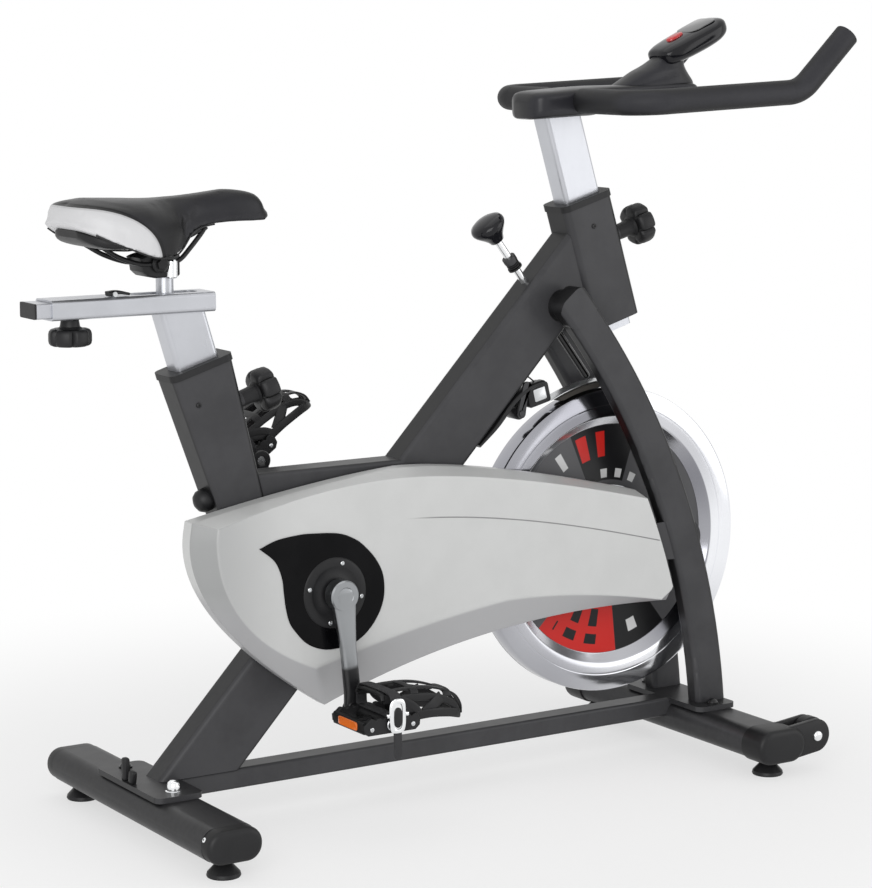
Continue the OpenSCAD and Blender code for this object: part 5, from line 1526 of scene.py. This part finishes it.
@dataclass
class Flywheel:
    """The polished flywheel: rim, painted disc with its colour panels, and the hub's bolts."""

    rim_out: float = 240.0
    rim_in: float = 197.0
    half_rim: float = 18.0
    half_web: float = 5.0
    flange: float = 86.0
    cone: float = 182.0

    def rim(self) -> None:
        """The polished rim, with a shallow channel in each side."""
        a, b, h, inner = self.rim_in, self.rim_out, self.half_rim, self.cone
        half = [(inner, 0), (inner, 5.6), (inner + 1, 6.2), (a - 2, h - 2.2), (a, h - 0.8), (a + 2.5, h), (b - 27, h),
                (b - 26, h - 0.5), (b - 25, h), (b - 4, h), (b - 1.2, h - 1.2), (b, h - 4), (b, 0)]
        profile = [(r, -y) for r, y in half] + [(r, y) for r, y in half[::-1]]
        form = Form("flywheel_ring")
        form.turn(profile, WHEEL, ACROSS, 192)
        form.place("flywheel", "chrome", "flywheel_rim", look="rim_metal", smooth=25)

    def disc(self) -> None:
        """The painted disc, slightly dished between the hub and the rim."""
        a, b, h = self.flange, self.cone + 2, self.half_web
        half = [(a, h), (a + 3, h + 0.6), (a + 6, h), (b - 1, h), (b, h - 1)]
        profile = [(r, -y) for r, y in half] + [(r, y) for r, y in half[::-1]] + [(half[0][0], -half[0][1])]
        form = Form("flywheel_plate")
        form.turn(profile, WHEEL, ACROSS, 160)
        form.place("flywheel", "disc_paint", "flywheel_disc", smooth=25)

    def bolts(self) -> None:
        """Nuts on the hub flange and a turned ring around it."""
        form = Form("flywheel_bolts")
        for k in range(6):
            a = radians(60 * k)
            for s in (-1, 1):
                at = WHEEL + mm(60 * cos(a), 12.0 * s, 60 * sin(a))
                hex_nut(form, at, Vector((0, s, 0)), 0.0078, 0.005)
        for s in (-1, 1):
            form.turn(((self.flange - 7, 6.9 * s), (self.flange - 6, 8.6 * s), (self.flange - 1.6, 8.6 * s),
                       (self.flange, 7.4 * s), (self.flange, 6.4 * s)), WHEEL, ACROSS, 120)
        form.place("flywheel", "bearing_steel", smooth=25)

    def build(self) -> None:
        """Builds the flywheel's pieces."""
        self.rim()
        self.disc()
        self.bolts()


@dataclass
class Brake:
    """The brake: knob, ribbed boot on the rod, bright band, holder with its pad."""

    pivot: Flat = (152.6, 562.9)
    plate_top: Flat = (163.0, 604.0)
    tail: tuple[Flat, ...] = ((77.4, 518.6), (109.0, 546.8), (136.6, 578.1), (159.7, 596.5), (182.6, 606.4),
                              (194.6, 608.9))

    @property
    def pin(self) -> Vector:
        """Middle of the lever's pin."""
        return mm(self.pivot[0], 0, self.pivot[1])

    def knob(self) -> None:
        """The bell-shaped knob on the rod."""
        form = Form("brake_bell")
        profile = ((6.1, 0), (10.0, 0), (11.2, 1), (13.5, 7), (19.5, 15), (25.0, 22), (27.6, 27), (27.6, 31),
                   (25.6, 35), (20, 38), (10, 39.8), (0, 40.2))
        form.turn(profile, BRAKE.at(0, 0, -48), BRAKE.way(0, 0, -1), 64)
        form.place("brake_knob", "gloss_black", "brake_knob", smooth=50)

    def boot(self) -> None:
        """The ribbed rubber boot where the rod enters the beam."""
        form = Form("brake_boot")
        profile = [(6.3, 15), (8.4, 15), (9.2, 14), (9.2, 12)]
        for k in range(4):
            z = 11 - 3.4 * k
            profile += [(8.4, z), (9.6 + 0.3 * k, z - 1.2), (9.6 + 0.3 * k, z - 2.2), (8.6, z - 3.3)]
        profile += [(11.4, -3), (11.4, -6), (6.3, -6)]
        form.turn(profile, BRAKE.at(0, 0, 0), BRAKE.way(0, 0, -1), 48)
        form.place("frame", "black_plastic", smooth=35)

    def arc(self, form: Form, radii: Flat, angles: Flat, half: float) -> None:
        """Adds a rounded band that bends about the flywheel's axis.

        Args:
            form: the form it is added to.
            radii: its inner and outer radius.
            angles: where it starts and ends, in degrees from the front.
            half: half its width.
        """
        steps = 28
        rings = []
        for k in range(steps + 1):
            share = k / steps
            a = radians(angles[0] + (angles[1] - angles[0]) * share)
            out = Vector((cos(a), 0, sin(a)))
            scale = 0.86 if k in (0, steps) else 1.0
            rings.append(oval(WHEEL + out * (radii[0] + radii[1]) * 0.0005, out, ACROSS,
                              (radii[1] - radii[0]) * 0.0005 * scale, half * 0.001 * scale, 28, 6.0))
        form.loft(rings)

    def pad(self) -> None:
        """The lining over the rim."""
        form = Form("brake_lining")
        self.arc(form, (243.4, 251.8), (80.5, 112.5), 15.5)
        form.place("brake_lever", "brake_leather", "brake_pad", smooth=30)

    def lever(self) -> None:
        """The lever: a bright spring band, a boxed holder at its rear end and a long curved tail."""
        band = Form("brake_band")
        self.arc(band, (252.1, 254.6), (78.2, 115.8), 11.5)
        band.place("brake_lever", "bearing_steel", "brake_lever", smooth=30)
        form = Form("brake_lever_arm")
        tail = [mm(x, -11, z) for x, z in self.tail]
        sweep(form, smooth_path(tail, 8), ACROSS, lambda t: 0.0105 - 0.003 * (1 - t),
              lambda t: 0.0028 + 0.0022 * sin(pi * min(1, t * 1.15)), count=24, power=3.0)
        box = Spot(mm(187.1, 0, 589.0), 14.0)
        rings = [rounded(box.at(0, y, 0), box.way(1, 0, 0), box.way(0, 0, 1), (20.5 - d) * 0.001, (16.0 - d) * 0.001,
                         0.0045) for y, d in ((-15, 1.4), (-14.2, 0.4), (-13, 0), (13, 0), (14.2, 0.4), (15, 1.4))]
        form.loft(rings)
        form.turn(((5.3, -13), (9.4, -13), (10, -12), (10, 12), (9.4, 13), (5.3, 13), (5.3, -13)), self.pin, ACROSS, 40)
        link = smooth_path([self.pin, mm(160, 0, 576), mm(170, 0, 590)], 6)
        sweep(form, link, ACROSS, 0.007, 0.008, count=20, power=4.0)
        form.place("brake_lever", "black_steel", smooth=35)
        label = Form("brake_label")
        label.loft([rounded(box.at(2, y, 0.5), box.way(1, 0, 0), box.way(0, 0, 1), (11 - d) * 0.001, (9.5 - d) * 0.001,
                            0.002) for y, d in ((-14.8, 0), (-15.4, 0), (-15.7, 0.5))])
        label.place("brake_lever", "bearing_steel", smooth=35)

    def mounts(self) -> None:
        """The rod's guide on the beam, and two slim plates that carry the lever's pin."""
        form = Form("brake_brackets")
        form.turn(((6.2, 16), (10.4, 16), (10.8, 15), (10.8, 8), (10.2, 5), (8.6, 4.2), (6.2, 4.2), (6.2, 16)),
                  BRAKE.at(0, 0, 0), BRAKE.way(0, 0, -1), 40)
        outline = link_outline(self.pivot, self.plate_top, (7.0, 7.6))
        for y in (-1, 1):
            form.loft([[mm(x, y * depth, z) for x, z in outline] for depth in (16.0, 19.5)])
            form.turn(((0, 19.5), (5.4, 19.5), (5.4, 21.4), (4.6, 22.2), (0, 22.2)), self.pin, Vector((0, y, 0)), 28)
        form.turn(((0, -19.6), (4.6, -19.6), (4.6, 19.6), (0, 19.6)), self.pin, ACROSS, 24)
        form.place("frame", "frame_paint", "brake_mounts", smooth=35)
        wire = Form("brake_wire")
        path = smooth_path([mm(150, -6, 640), mm(160, -8, 626), mm(176, -8, 614), mm(192, -6, 603)], 8)
        sweep(wire, path, ACROSS, 0.0012, 0.0012, count=10)
        wire.place("frame", "black_plastic")

    def build(self) -> None:
        """Builds the brake's pieces."""
        self.knob()
        self.boot()
        self.pad()
        self.lever()
        self.mounts()


@dataclass
class Pedal:
    """One pedal with its toe cage, strap and buckle. Its own frame has y pointing to the bike."""

    side: str
    centre: Vector
    tilt: float
    width: float = 92.0
    length: float = 96.0
    height: float = 24.0

    @property
    def mirror(self) -> float:
        """1 on the right side and -1 on the left."""
        return -1.0 if self.side == "left" else 1.0

    def at(self, x: float, y: float, z: float) -> Vector:
        """A point of the pedal's frame in metres."""
        return self.centre + turned(-self.tilt) @ mm(x, y * self.mirror, z)

    def way(self, x: float, y: float, z: float) -> Vector:
        """A direction of the pedal's frame."""
        return turned(-self.tilt) @ Vector((x, y * self.mirror, z))

    def bar(self, form: Form, points: Sequence[Sequence[float]], half_w: float, half_h: float,
            side: Sequence[float] = (0, 1, 0), power: float = 4.0) -> None:
        """Adds a smooth bar, sized in millimetres, through points of the pedal's frame."""
        path = smooth_path([self.at(*p) for p in points], 8)
        sweep(form, path, self.way(*side), half_w * 0.001, half_h * 0.001, 16, power)

    def body(self) -> None:
        """The pedal's platform: toothed side rails, cross bars and the barrel."""
        form = Form(f"pedal_platform_{self.side}")
        w, l, h = self.width / 2, self.length / 2, self.height / 2
        for y in (-w + 5, w - 5):
            outline = [(-l + 9, -h), (l - 9, -h), (l - 2, -h + 6), (l - 1, h - 9)]
            teeth = []
            for k in range(7):
                x = l - 6 - k * (2 * l - 12) / 7
                step = (2 * l - 12) / 7
                teeth += [(x, h - 1.0), (x - step * 0.30, h), (x - step * 0.52, h - 0.6), (x - step * 0.76, h - 3.2)]
            outline += teeth + [(-l + 1, h - 9), (-l + 2, -h + 6)]
            rings = [[self.at(x * s, y + d, z * s) for x, z in outline]
                     for d, s in ((-4.4, 0.97), (-3.4, 1.0), (3.4, 1.0), (4.4, 0.97))]
            form.loft(rings)
        for x in (-l + 6, l - 6):
            self.bar(form, [(x, -w + 5, -1), (x, 0, -1), (x, w - 5, -1)], 4.5, h - 3, side=(1, 0, 0), power=5.0)
        self.bar(form, [(-l + 6, 0, -2), (0, 0, -2), (l - 6, 0, -2)], 7.0, 7.0, power=4.0)
        form.turn(((6.1, -w + 4), (11.4, -w + 4), (12, -w + 5), (10.4, -w + 12), (10.4, w - 14), (11.8, w - 5),
                   (11.8, w + 3), (6.1, w + 3)), self.centre, self.way(0, 1, 0), 40)
        form.place(f"pedal_{self.side}", "black_plastic", f"pedal_{self.side}", smooth=30)
        caps = Form(f"pedal_caps_{self.side}")
        caps.turn(((0, -w - 0.6), (7.5, -w - 0.4), (9.3, -w + 1.2), (9.6, -w + 4.5), (0, -w + 4.5)), self.centre,
                  self.way(0, 1, 0), 32)
        for x in (-l + 14, l - 14):
            for y in (-w + 0.6, w - 0.6):
                screw_head(caps, self.at(x, y, -3), self.way(0, -1 if y < 0 else 1, 0), 0.0035)
        caps.place(f"pedal_{self.side}", "bearing_steel", smooth=35)

    def reflectors(self) -> None:
        """A prismatic reflector set into the front and the rear bar."""
        form = Form(f"pedal_reflectors_{self.side}")
        for x, s in ((-self.length / 2 + 1.3, -1), (self.length / 2 - 1.3, 1)):
            form.loft([oval(self.at(x + s * d, 0, -1), self.way(0, 1, 0), self.way(0, 0, 1), 0.026 * k,
                            0.0062 * k, 32, 7.0) for d, k in ((-0.6, 1.0), (0.5, 1.0), (1.2, 0.93))])
        form.place(f"pedal_{self.side}", "red_plastic", look="reflector", smooth=30)

    def cage(self) -> None:
        """The toe cage: a moulded web of flat ribs around oval windows."""
        form = Form(f"toe_basket_{self.side}")
        rim = [(44, 39, 6), (72, 38, 6), (104, 31, 1), (130, 17, -7), (137, 0, -9), (130, -17, -7), (104, -31, 1),
               (72, -38, 6), (44, -39, 6)]
        self.bar(form, rim, 6.5, 1.7, side=(0, 0, 1))
        for s in (-1, 1):
            self.bar(form, [(-8, 36 * s, 35), (16, 36.5 * s, 32), (38, 38 * s, 20), (48, 38.5 * s, 9)], 1.8, 6.5)
            self.bar(form, [(12, 35.5 * s, 34), (20, 37 * s, 23), (34, 38 * s, 13), (46, 38.5 * s, 7)], 1.6, 4.5)
            self.bar(form, [(-6, 21 * s, 41.0), (30, 21 * s, 42.5), (66, 19 * s, 41), (96, 17 * s, 34),
                            (122, 12 * s, 22), (135, 8 * s, 6), (136.5, 8 * s, -8)], 6.0, 1.7)
            self.bar(form, [(20, 36 * s, 33), (54, 35 * s, 31), (88, 29 * s, 24), (114, 23 * s, 11), (124, 21 * s, -3)],
                     1.8, 5.5)
            self.bar(form, [(58, 37.5 * s, 7), (74, 35 * s, 16), (92, 28 * s, 25)], 1.8, 9.0)
        for x, z, y in ((-7, 40.0, 36), (44, 41.8, 34), (104, 30.5, 25)):
            drop = [(x, y, z - 7), (x + 0.5, y * 0.8, z), (x + 1, 0, z + 1.4), (x + 0.5, -y * 0.8, z), (x, -y, z - 7)]
            self.bar(form, drop, 6.2, 1.6, side=(1, 0, 0))
        form.place(f"pedal_{self.side}", "black_plastic", f"toe_cage_{self.side}")

    def strap(self) -> None:
        """The strap around the pedal and over the cage, with its buckle and loose end."""
        form = Form(f"toe_band_{self.side}")
        w = self.width / 2 + 2.2
        loop = [(5, -w, 16), (5, -w, 30), (5, -w + 4, 39), (5, -w + 12, 43.2), (5, 0, 44.0), (5, w - 12, 43.2),
                (5, w - 4, 39), (5, w, 30), (5, w, 16), (5, w - 1.5, 11.5), (5, w - 6, 10.6), (5, 0, 10.6),
                (5, -w + 6, 10.6), (5, -w + 1.5, 11.5)]
        points = [self.at(*p) for p in loop]
        path = smooth_path([*points, points[0], points[1]], 5)
        sweep(form, path[:5 * len(loop)], self.way(1, 0, 0), 0.0088, 0.0010, 12, 6.0, closed=True)
        tail = [(5, -w - 1.2, 27), (5, -w - 2.2, 10), (5, -w - 2.6, -8), (6, -w - 1.8, -26), (7, -w - 0.6, -42),
                (7.5, -w - 0.2, -52)]
        path = smooth_path([self.at(*p) for p in tail], 8)
        sweep(form, path, self.way(1, 0, 0), lambda t: 0.0066 * (1 - max(0.0, (t - 0.84) / 0.16) ** 2 * 0.75),
              0.0011, 12, 6.0)
        form.place(f"pedal_{self.side}", "webbing", f"toe_strap_{self.side}")
        buckle = Form(f"buckle_{self.side}")
        rings = [[self.at(5 + p.x * 1000, -w - 2.2 - lift, 13 + p.z * 1000) for p in
                  oval(Vector(), AHEAD, UP, 0.0135 - inset, 0.025 - inset, 40, 3.4)]
                 for lift, inset in ((0.0, 0.0), (1.4, 0.0), (2.4, 0.0008), (3.0, 0.0022), (3.2, 0.0042),
                                     (2.6, 0.0062), (1.6, 0.0068))]
        buckle.loft(rings)
        for x in (-10.5, 20.5):
            buckle.turn(((0, -2.4), (2.4, -2.4), (2.8, -1.6), (2.8, 1.6), (2.4, 2.4), (0, 2.4)),
                        self.at(x, -w - 3.0, 15), self.way(0, 0, 1), 20)
        buckle.place(f"pedal_{self.side}", "chrome")
        pawl = Form(f"buckle_pawl_{self.side}")
        pawl.loft([[self.at(5 + p.x * 1000, -w - 3.8 - lift, 11 + p.z * 1000) for p in
                    oval(Vector(), AHEAD, UP, 0.0068 * k, 0.0145 * k, 32, 2.4)]
                   for lift, k in ((0.0, 1.0), (1.2, 1.0), (1.9, 0.86), (2.1, 0.6))])
        pawl.place(f"pedal_{self.side}", "black_plastic")

    def build(self) -> None:
        """Builds the pedal's pieces."""
        self.body()
        self.reflectors()
        self.cage()
        self.strap()


@dataclass
class Cranks:
    """The two forged crank arms."""

    inner_y: float = 98.0
    thickness: float = 18.0
    throw: float = 0.170

    def arm(self, form: Form, side: float, pedal: Vector) -> None:
        """Adds one arm: a waisted bar between the spindle's boss and the pedal's.

        Args:
            form: the form it is added to.
            side: -1 on the right, 1 on the left.
            pedal: the pedal axle's place.
        """
        start = Vector((CRANK.x, 0, CRANK.z))
        end = Vector((pedal.x, 0, pedal.z))
        way = (end - start).normalized()
        across = way.cross(ACROSS)
        middle = side * (self.inner_y + self.thickness / 2) * 0.001
        rings = []
        for k in range(41):
            t = k / 40
            u = -0.012 + (self.throw + 0.010) * t
            half = 0.0205 - 0.0085 * min(1.0, max(0.0, (t - 0.05) / 0.45)) ** 0.8
            half += 0.0035 * max(0.0, (t - 0.82) / 0.18) ** 2
            depth = 0.0087 - 0.0013 * sin(pi * min(1, max(0, (t - 0.12) / 0.76)))
            scale = 0.8 if k in (0, 40) else 1.0
            rings.append(oval(start + way * u + Vector((0, middle, 0)), across, ACROSS,
                              half * scale, depth * scale, 32, 3.4))
        form.loft(rings)
        a = side * self.inner_y
        b = side * (self.inner_y + self.thickness)
        form.turn(((10.2, a - side * 6), (21, a - side * 6), (22.6, a - side * 4), (22.8, b - side * 3),
                   (21, b - side * 0.6), (13, b - side * 0.4), (12, b - side * 1.4), (12, b - side * 4),
                   (10.2, b - side * 4), (10.2, a - side * 6)), start, ACROSS, 56)
        form.turn(((7.1, a + side * 0.4), (14.6, a + side * 0.4), (15.8, a + side * 1.8), (15.8, b - side * 1.8),
                   (14.6, b - side * 0.3), (7.1, b - side * 0.3), (7.1, a + side * 0.4)), end, ACROSS, 44)

    def build(self) -> None:
        """Builds both arms."""
        form = Form("crank_forgings")
        self.arm(form, -1, joint_at("pedal_right_spin"))
        self.arm(form, 1, joint_at("pedal_left_spin"))
        form.place("crankset", "aluminium", "crank_arms", look="crank_metal", smooth=35)


@dataclass
class Fasteners:
    """Small fasteners and fittings of the frame."""

    boss_at: Point = (-377.7, 0.0, 479.0)
    boss_way: Point = (-0.938, 0.0, -0.347)

    def frame_screws(self) -> None:
        """Socket screws in the sides of the tubes."""
        form = Form("tube_screws")
        for at in (mm(277, 0, 844.4), mm(-405, 0, 619.3)):
            for y in (-1, 1):
                screw_head(form, at + Vector((0, y * 0.0302, 0)), Vector((0, y, 0)), 0.0040)
        form.place("frame", "black_steel", smooth=30)

    def build(self) -> None:
        """Builds the fasteners."""
        self.frame_screws()
        boss = Form("seat_tube_boss")
        boss.turn(((0, -2), (16.5, -2), (17, -1), (17, 5), (16.4, 11), (12.5, 17), (6, 20.4), (0, 21.2)),
                  mm(*self.boss_at), Vector(self.boss_way), 40)
        boss.place("frame", "black_plastic", smooth=50)


@dataclass
class Base:
    """Plastic ends of the floor tubes and the bright fasteners around them."""

    half_span: float = 238.0
    half_w: float = 42.0
    half_h: float = 24.0
    corner: float = 23.0
    middle: float = 50.0
    tube_x: float = 476.0
    end_y: float = 263.0
    nut_at: Point = (-476.0, -76.0, 82.0)

    def section(self, x: float, y: float, grow: float, shrink: float) -> list[Vector]:
        """One section of a tube end: grow sets it proud of the tube and shrink draws it in."""
        move = grow - shrink
        return rounded(mm(x, y, self.middle), AHEAD, UP, (self.half_w + move) * 0.001,
                       (self.half_h + move) * 0.001, max(self.corner + move, 8.0) * 0.001)

    def cap(self, form: Form, x: float, side: float, start: float, grow: float) -> None:
        """Adds one rounded end to the tube at x, from start outwards, standing grow proud of it."""
        stops = ((start, 0.8), (start + 0.8, 0.0), (self.end_y - 8.0, 0.0), (self.end_y - 4.6, 0.9),
                 (self.end_y - 1.9, 3.0), (self.end_y - 0.5, 6.2), (self.end_y, 9.5))
        form.loft([self.section(x, side * y, grow, shrink) for y, shrink in stops])

    def wheel_holder(self, form: Form, side: float) -> None:
        """Adds the two ears that hold a transport wheel.

        Args:
            form: the form it is added to.
            side: -1 on the right, 1 on the left.
        """
        outline = link_outline((self.tube_x + 71, 57), (self.tube_x + 12, 50.5), (25.8, 26.0), 24)
        cx, cz = self.tube_x + 50, 54
        for low, high in ((216.5, 223.9), (246.1, 257.2)):
            rings = [[mm(cx + (x - cx) * k, side * y, cz + (z - cz) * k) for x, z in outline]
                     for y, k in ((low, 0.97), (low + 1.0, 1.0), (high - 2.4, 1.0), (high - 0.8, 0.975), (high, 0.93))]
            form.loft(rings)

    def caps(self) -> None:
        """All four tube ends."""
        form = Form("tube_ends")
        for side in (-1, 1):
            self.cap(form, -self.tube_x, side, self.half_span + 0.4, 0.0)
            self.cap(form, self.tube_x, side, 214.0, 3.0)
            self.wheel_holder(form, side)
        form.place("frame", "black_plastic", "end_caps")

    def nuts(self) -> None:
        """Bright dome nuts, wheel bolts and cap screws, and a small clip on the rear plate."""
        form = Form("base_nuts")
        for side in (-1, 1):
            form.turn(((0, 5.2), (4.0, 5.0), (6.6, 4.2), (8.0, 2.6), (8.4, 0), (8.4, -1.6), (0, -1.6)),
                      mm(self.tube_x + 71, side * 257.0, 57), Vector((0, side, 0)), 32)
        form.turn(((0, 17), (4.5, 16.4), (8.0, 13.4), (9.4, 9.0), (9.4, 2.4), (11.5, 1.6), (11.5, 0), (0, 0)),
                  mm(*self.nut_at), UP, 32)
        screw_head(form, mm(-self.tube_x - 38.6, -243, 61), Vector((-0.86, 0, 0.5)), 0.0038)
        form.place("frame", "chrome", smooth=35)
        clip = Form("base_clip")
        for x, y, height, lean in ((-506, 14, 34, 0.0), (-506, -8, 20, 10.0)):
            clip.block((0.010, 0.012, height * 0.001), mm(x, y, 81 + height / 2), turned(lean, "X"), 0.0035)
        clip.place("frame", "black_plastic", smooth=35)

    def build(self) -> None:
        """Builds the base's pieces."""
        self.caps()
        self.nuts()


@dataclass
class SliderClip:
    """Small lever lock that lies on top of the slider's sleeve."""

    top: float = 778.3

    def build(self) -> None:
        """Builds the clip."""
        form = Form("slider_lock")
        sweep(form, smooth_path([mm(-537, -16, self.top + 4.5), mm(-522, -16, self.top + 6.0),
                                 mm(-506, -16, self.top + 3.2)], 8), ACROSS, 0.0075,
              lambda t: 0.0035 - 0.0016 * t, count=20, power=4.0)
        form.place("seat_post", "black_plastic")
        pin = Form("slider_lock_pin")
        pin.turn(((0, -9), (3.4, -9), (3.8, -8), (3.8, 8), (3.4, 9), (0, 9)), mm(-529, -16, self.top + 4.0),
                 ACROSS, 24)
        pin.place("seat_post", "bearing_steel", smooth=35)


@dataclass
class Studio:
    """Floor, lights, world and camera."""

    camera_at: Point = (-2.1668, -3.4167, 1.1543)
    azimuth: float = -32.5
    elevation: float = 7.7
    lens: float = 110.68
    shift: float = -0.060
    level: float = 0.42
    aim: Point = (0, 0, 0.6)

    def back(self) -> Vector:
        """Direction from the object towards the camera."""
        a, e = radians(self.azimuth), radians(self.elevation)
        return Vector((sin(a) * cos(e), -cos(a) * cos(e), sin(e)))

    def camera(self) -> None:
        """Makes the camera."""
        data = bpy.data.cameras.new("camera")
        data.lens = self.lens
        data.sensor_width = 36.0
        data.sensor_fit = "AUTO"
        data.shift_y = self.shift
        camera = bpy.data.objects.new("camera", data)
        camera.location = self.camera_at
        camera.rotation_euler = self.back().to_track_quat("Z", "Y").to_euler()
        bpy.context.scene.collection.objects.link(camera)
        bpy.context.scene.camera = camera

    def lamp(self, name: str, at: Point, size: Flat, power: float) -> None:
        """Makes one soft rectangular light.

        Args:
            name: its name.
            at: its place.
            size: its width and height.
            power: its power in watts.
        """
        data = bpy.data.lights.new(name, "AREA")
        data.shape = "RECTANGLE"
        data.size, data.size_y = size
        data.energy = power
        lamp = bpy.data.objects.new(name, data)
        lamp.location = at
        lamp.rotation_euler = (Vector(at) - Vector(self.aim)).to_track_quat("Z", "Y").to_euler()
        bpy.context.scene.collection.objects.link(lamp)

    def world(self) -> None:
        """A white surrounding for the eye, mirrors and glass over a paler diffuse light."""
        world = bpy.data.worlds.new("studio")
        world.use_nodes = True
        tree = world.node_tree
        tree.nodes.clear()
        path = tree.nodes.new("ShaderNodeLightPath")
        seen, lit = (tree.nodes.new("ShaderNodeBackground") for _ in range(2))
        for sky, level in ((seen, 1.0), (lit, self.level)):
            sky.inputs["Color"].default_value = (level, level, level, 1)
        mix = tree.nodes.new("ShaderNodeMixShader")
        output = tree.nodes.new("ShaderNodeOutputWorld")
        share = path.outputs["Is Camera Ray"]
        for ray in ("Is Glossy Ray", "Is Transmission Ray"):
            either = tree.nodes.new("ShaderNodeMath")
            either.operation = "MAXIMUM"
            tree.links.new(share, either.inputs[0])
            tree.links.new(path.outputs[ray], either.inputs[1])
            share = either.outputs[0]
        tree.links.new(share, mix.inputs[0])
        tree.links.new(lit.outputs[0], mix.inputs[1])
        tree.links.new(seen.outputs[0], mix.inputs[2])
        tree.links.new(mix.outputs[0], output.inputs[0])
        bpy.context.scene.world = world

    def floor(self) -> None:
        """A plain pale floor."""
        form = Form("floor")
        bmesh.ops.create_grid(form.mesh, x_segments=1, y_segments=1, size=30.0)
        shader = Shader("floor")
        here = shader.place()
        patches = shader.noise(here, 2.0)
        shader.set(Base_Color=shader.mix((0.94, 0.94, 0.94), (0.955, 0.955, 0.955), patches), Roughness=0.7)
        x, y, _ = shader.axes(here)
        far = (x * x + y * y) ** 0.5
        shader.whiten(far.step(0.5, 1.5) * 0.4 + 0.6)
        floor = form.finish(shader.material)

    def build(self) -> None:
        """Makes everything."""
        self.camera()
        self.world()
        self.floor()
        self.lamp("key", (-2.8, -3.0, 1.8), (3.0, 3.0), 90.0)
        self.lamp("fill", (2.8, -2.6, 1.2), (2.4, 3.0), 26.0)
        self.lamp("top", (0.0, 0.4, 3.4), (3.0, 2.4), 12.0)
        bpy.context.scene.view_settings.view_transform = "Standard"


def dress_frame() -> None:
    """Gives every CAD node its finish: black plastic, unless the table says another."""
    looks = {name: look for look, names in NODE_FINISH.items() for name in names}
    for name, node in frame["nodes"].items():
        node.data.materials.clear()
        node.data.materials.append(LOOKS[looks.get(name, "black_plastic")])


def main() -> None:
    """Builds the looks, one sub-assembly after another."""
    logging.basicConfig(level=logging.INFO, format="%(message)s", stream=sys.stdout)
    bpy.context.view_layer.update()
    LOOKS.update((f.name, f.build()) for f in (
        PAINT, BLACK_PLASTIC, GLOSS_BLACK, CHROME, BEARING, GUARD, BELT, DISC, ALUMINIUM, WEBBING, SILVER,
        BLACK_STEEL, VINYL, FOAM, RED, LEATHER, MOULDING, WINDOW, REFLECTOR, CRANK_METAL,
        WING_GLOSS, RIM_METAL, ROD_METAL))
    dress_frame()
    parts = [Saddle(), Guard(), Cockpit(), Flywheel(), Brake(), Cranks(), Fasteners(), Base(), SliderClip(),
        Pedal("right", joint_at("pedal_right_spin"), 0.0), Pedal("left", joint_at("pedal_left_spin"), 36.0),
        ClampKnob("seat_hand_knob", "seat_knob", SEAT.at(34.3, 0, -68), SEAT.way(1, 0, 0), 47.0),
        ClampKnob("bar_hand_knob", "bar_knob", HEAD.at(33.3, 0, -68), HEAD.way(1, 0, 0), 52.0),
        ClampKnob("slider_hand_knob", "slider_knob", mm(-586.73, 0, 753.26), Vector((0, 0, -1)), 17.0, 30.0, 24.0),
    ]
    for part in parts:
        LOG.info("building %s", type(part).__name__)
        part.build()
    Studio().build()


if __name__ == "__main__":
    main()
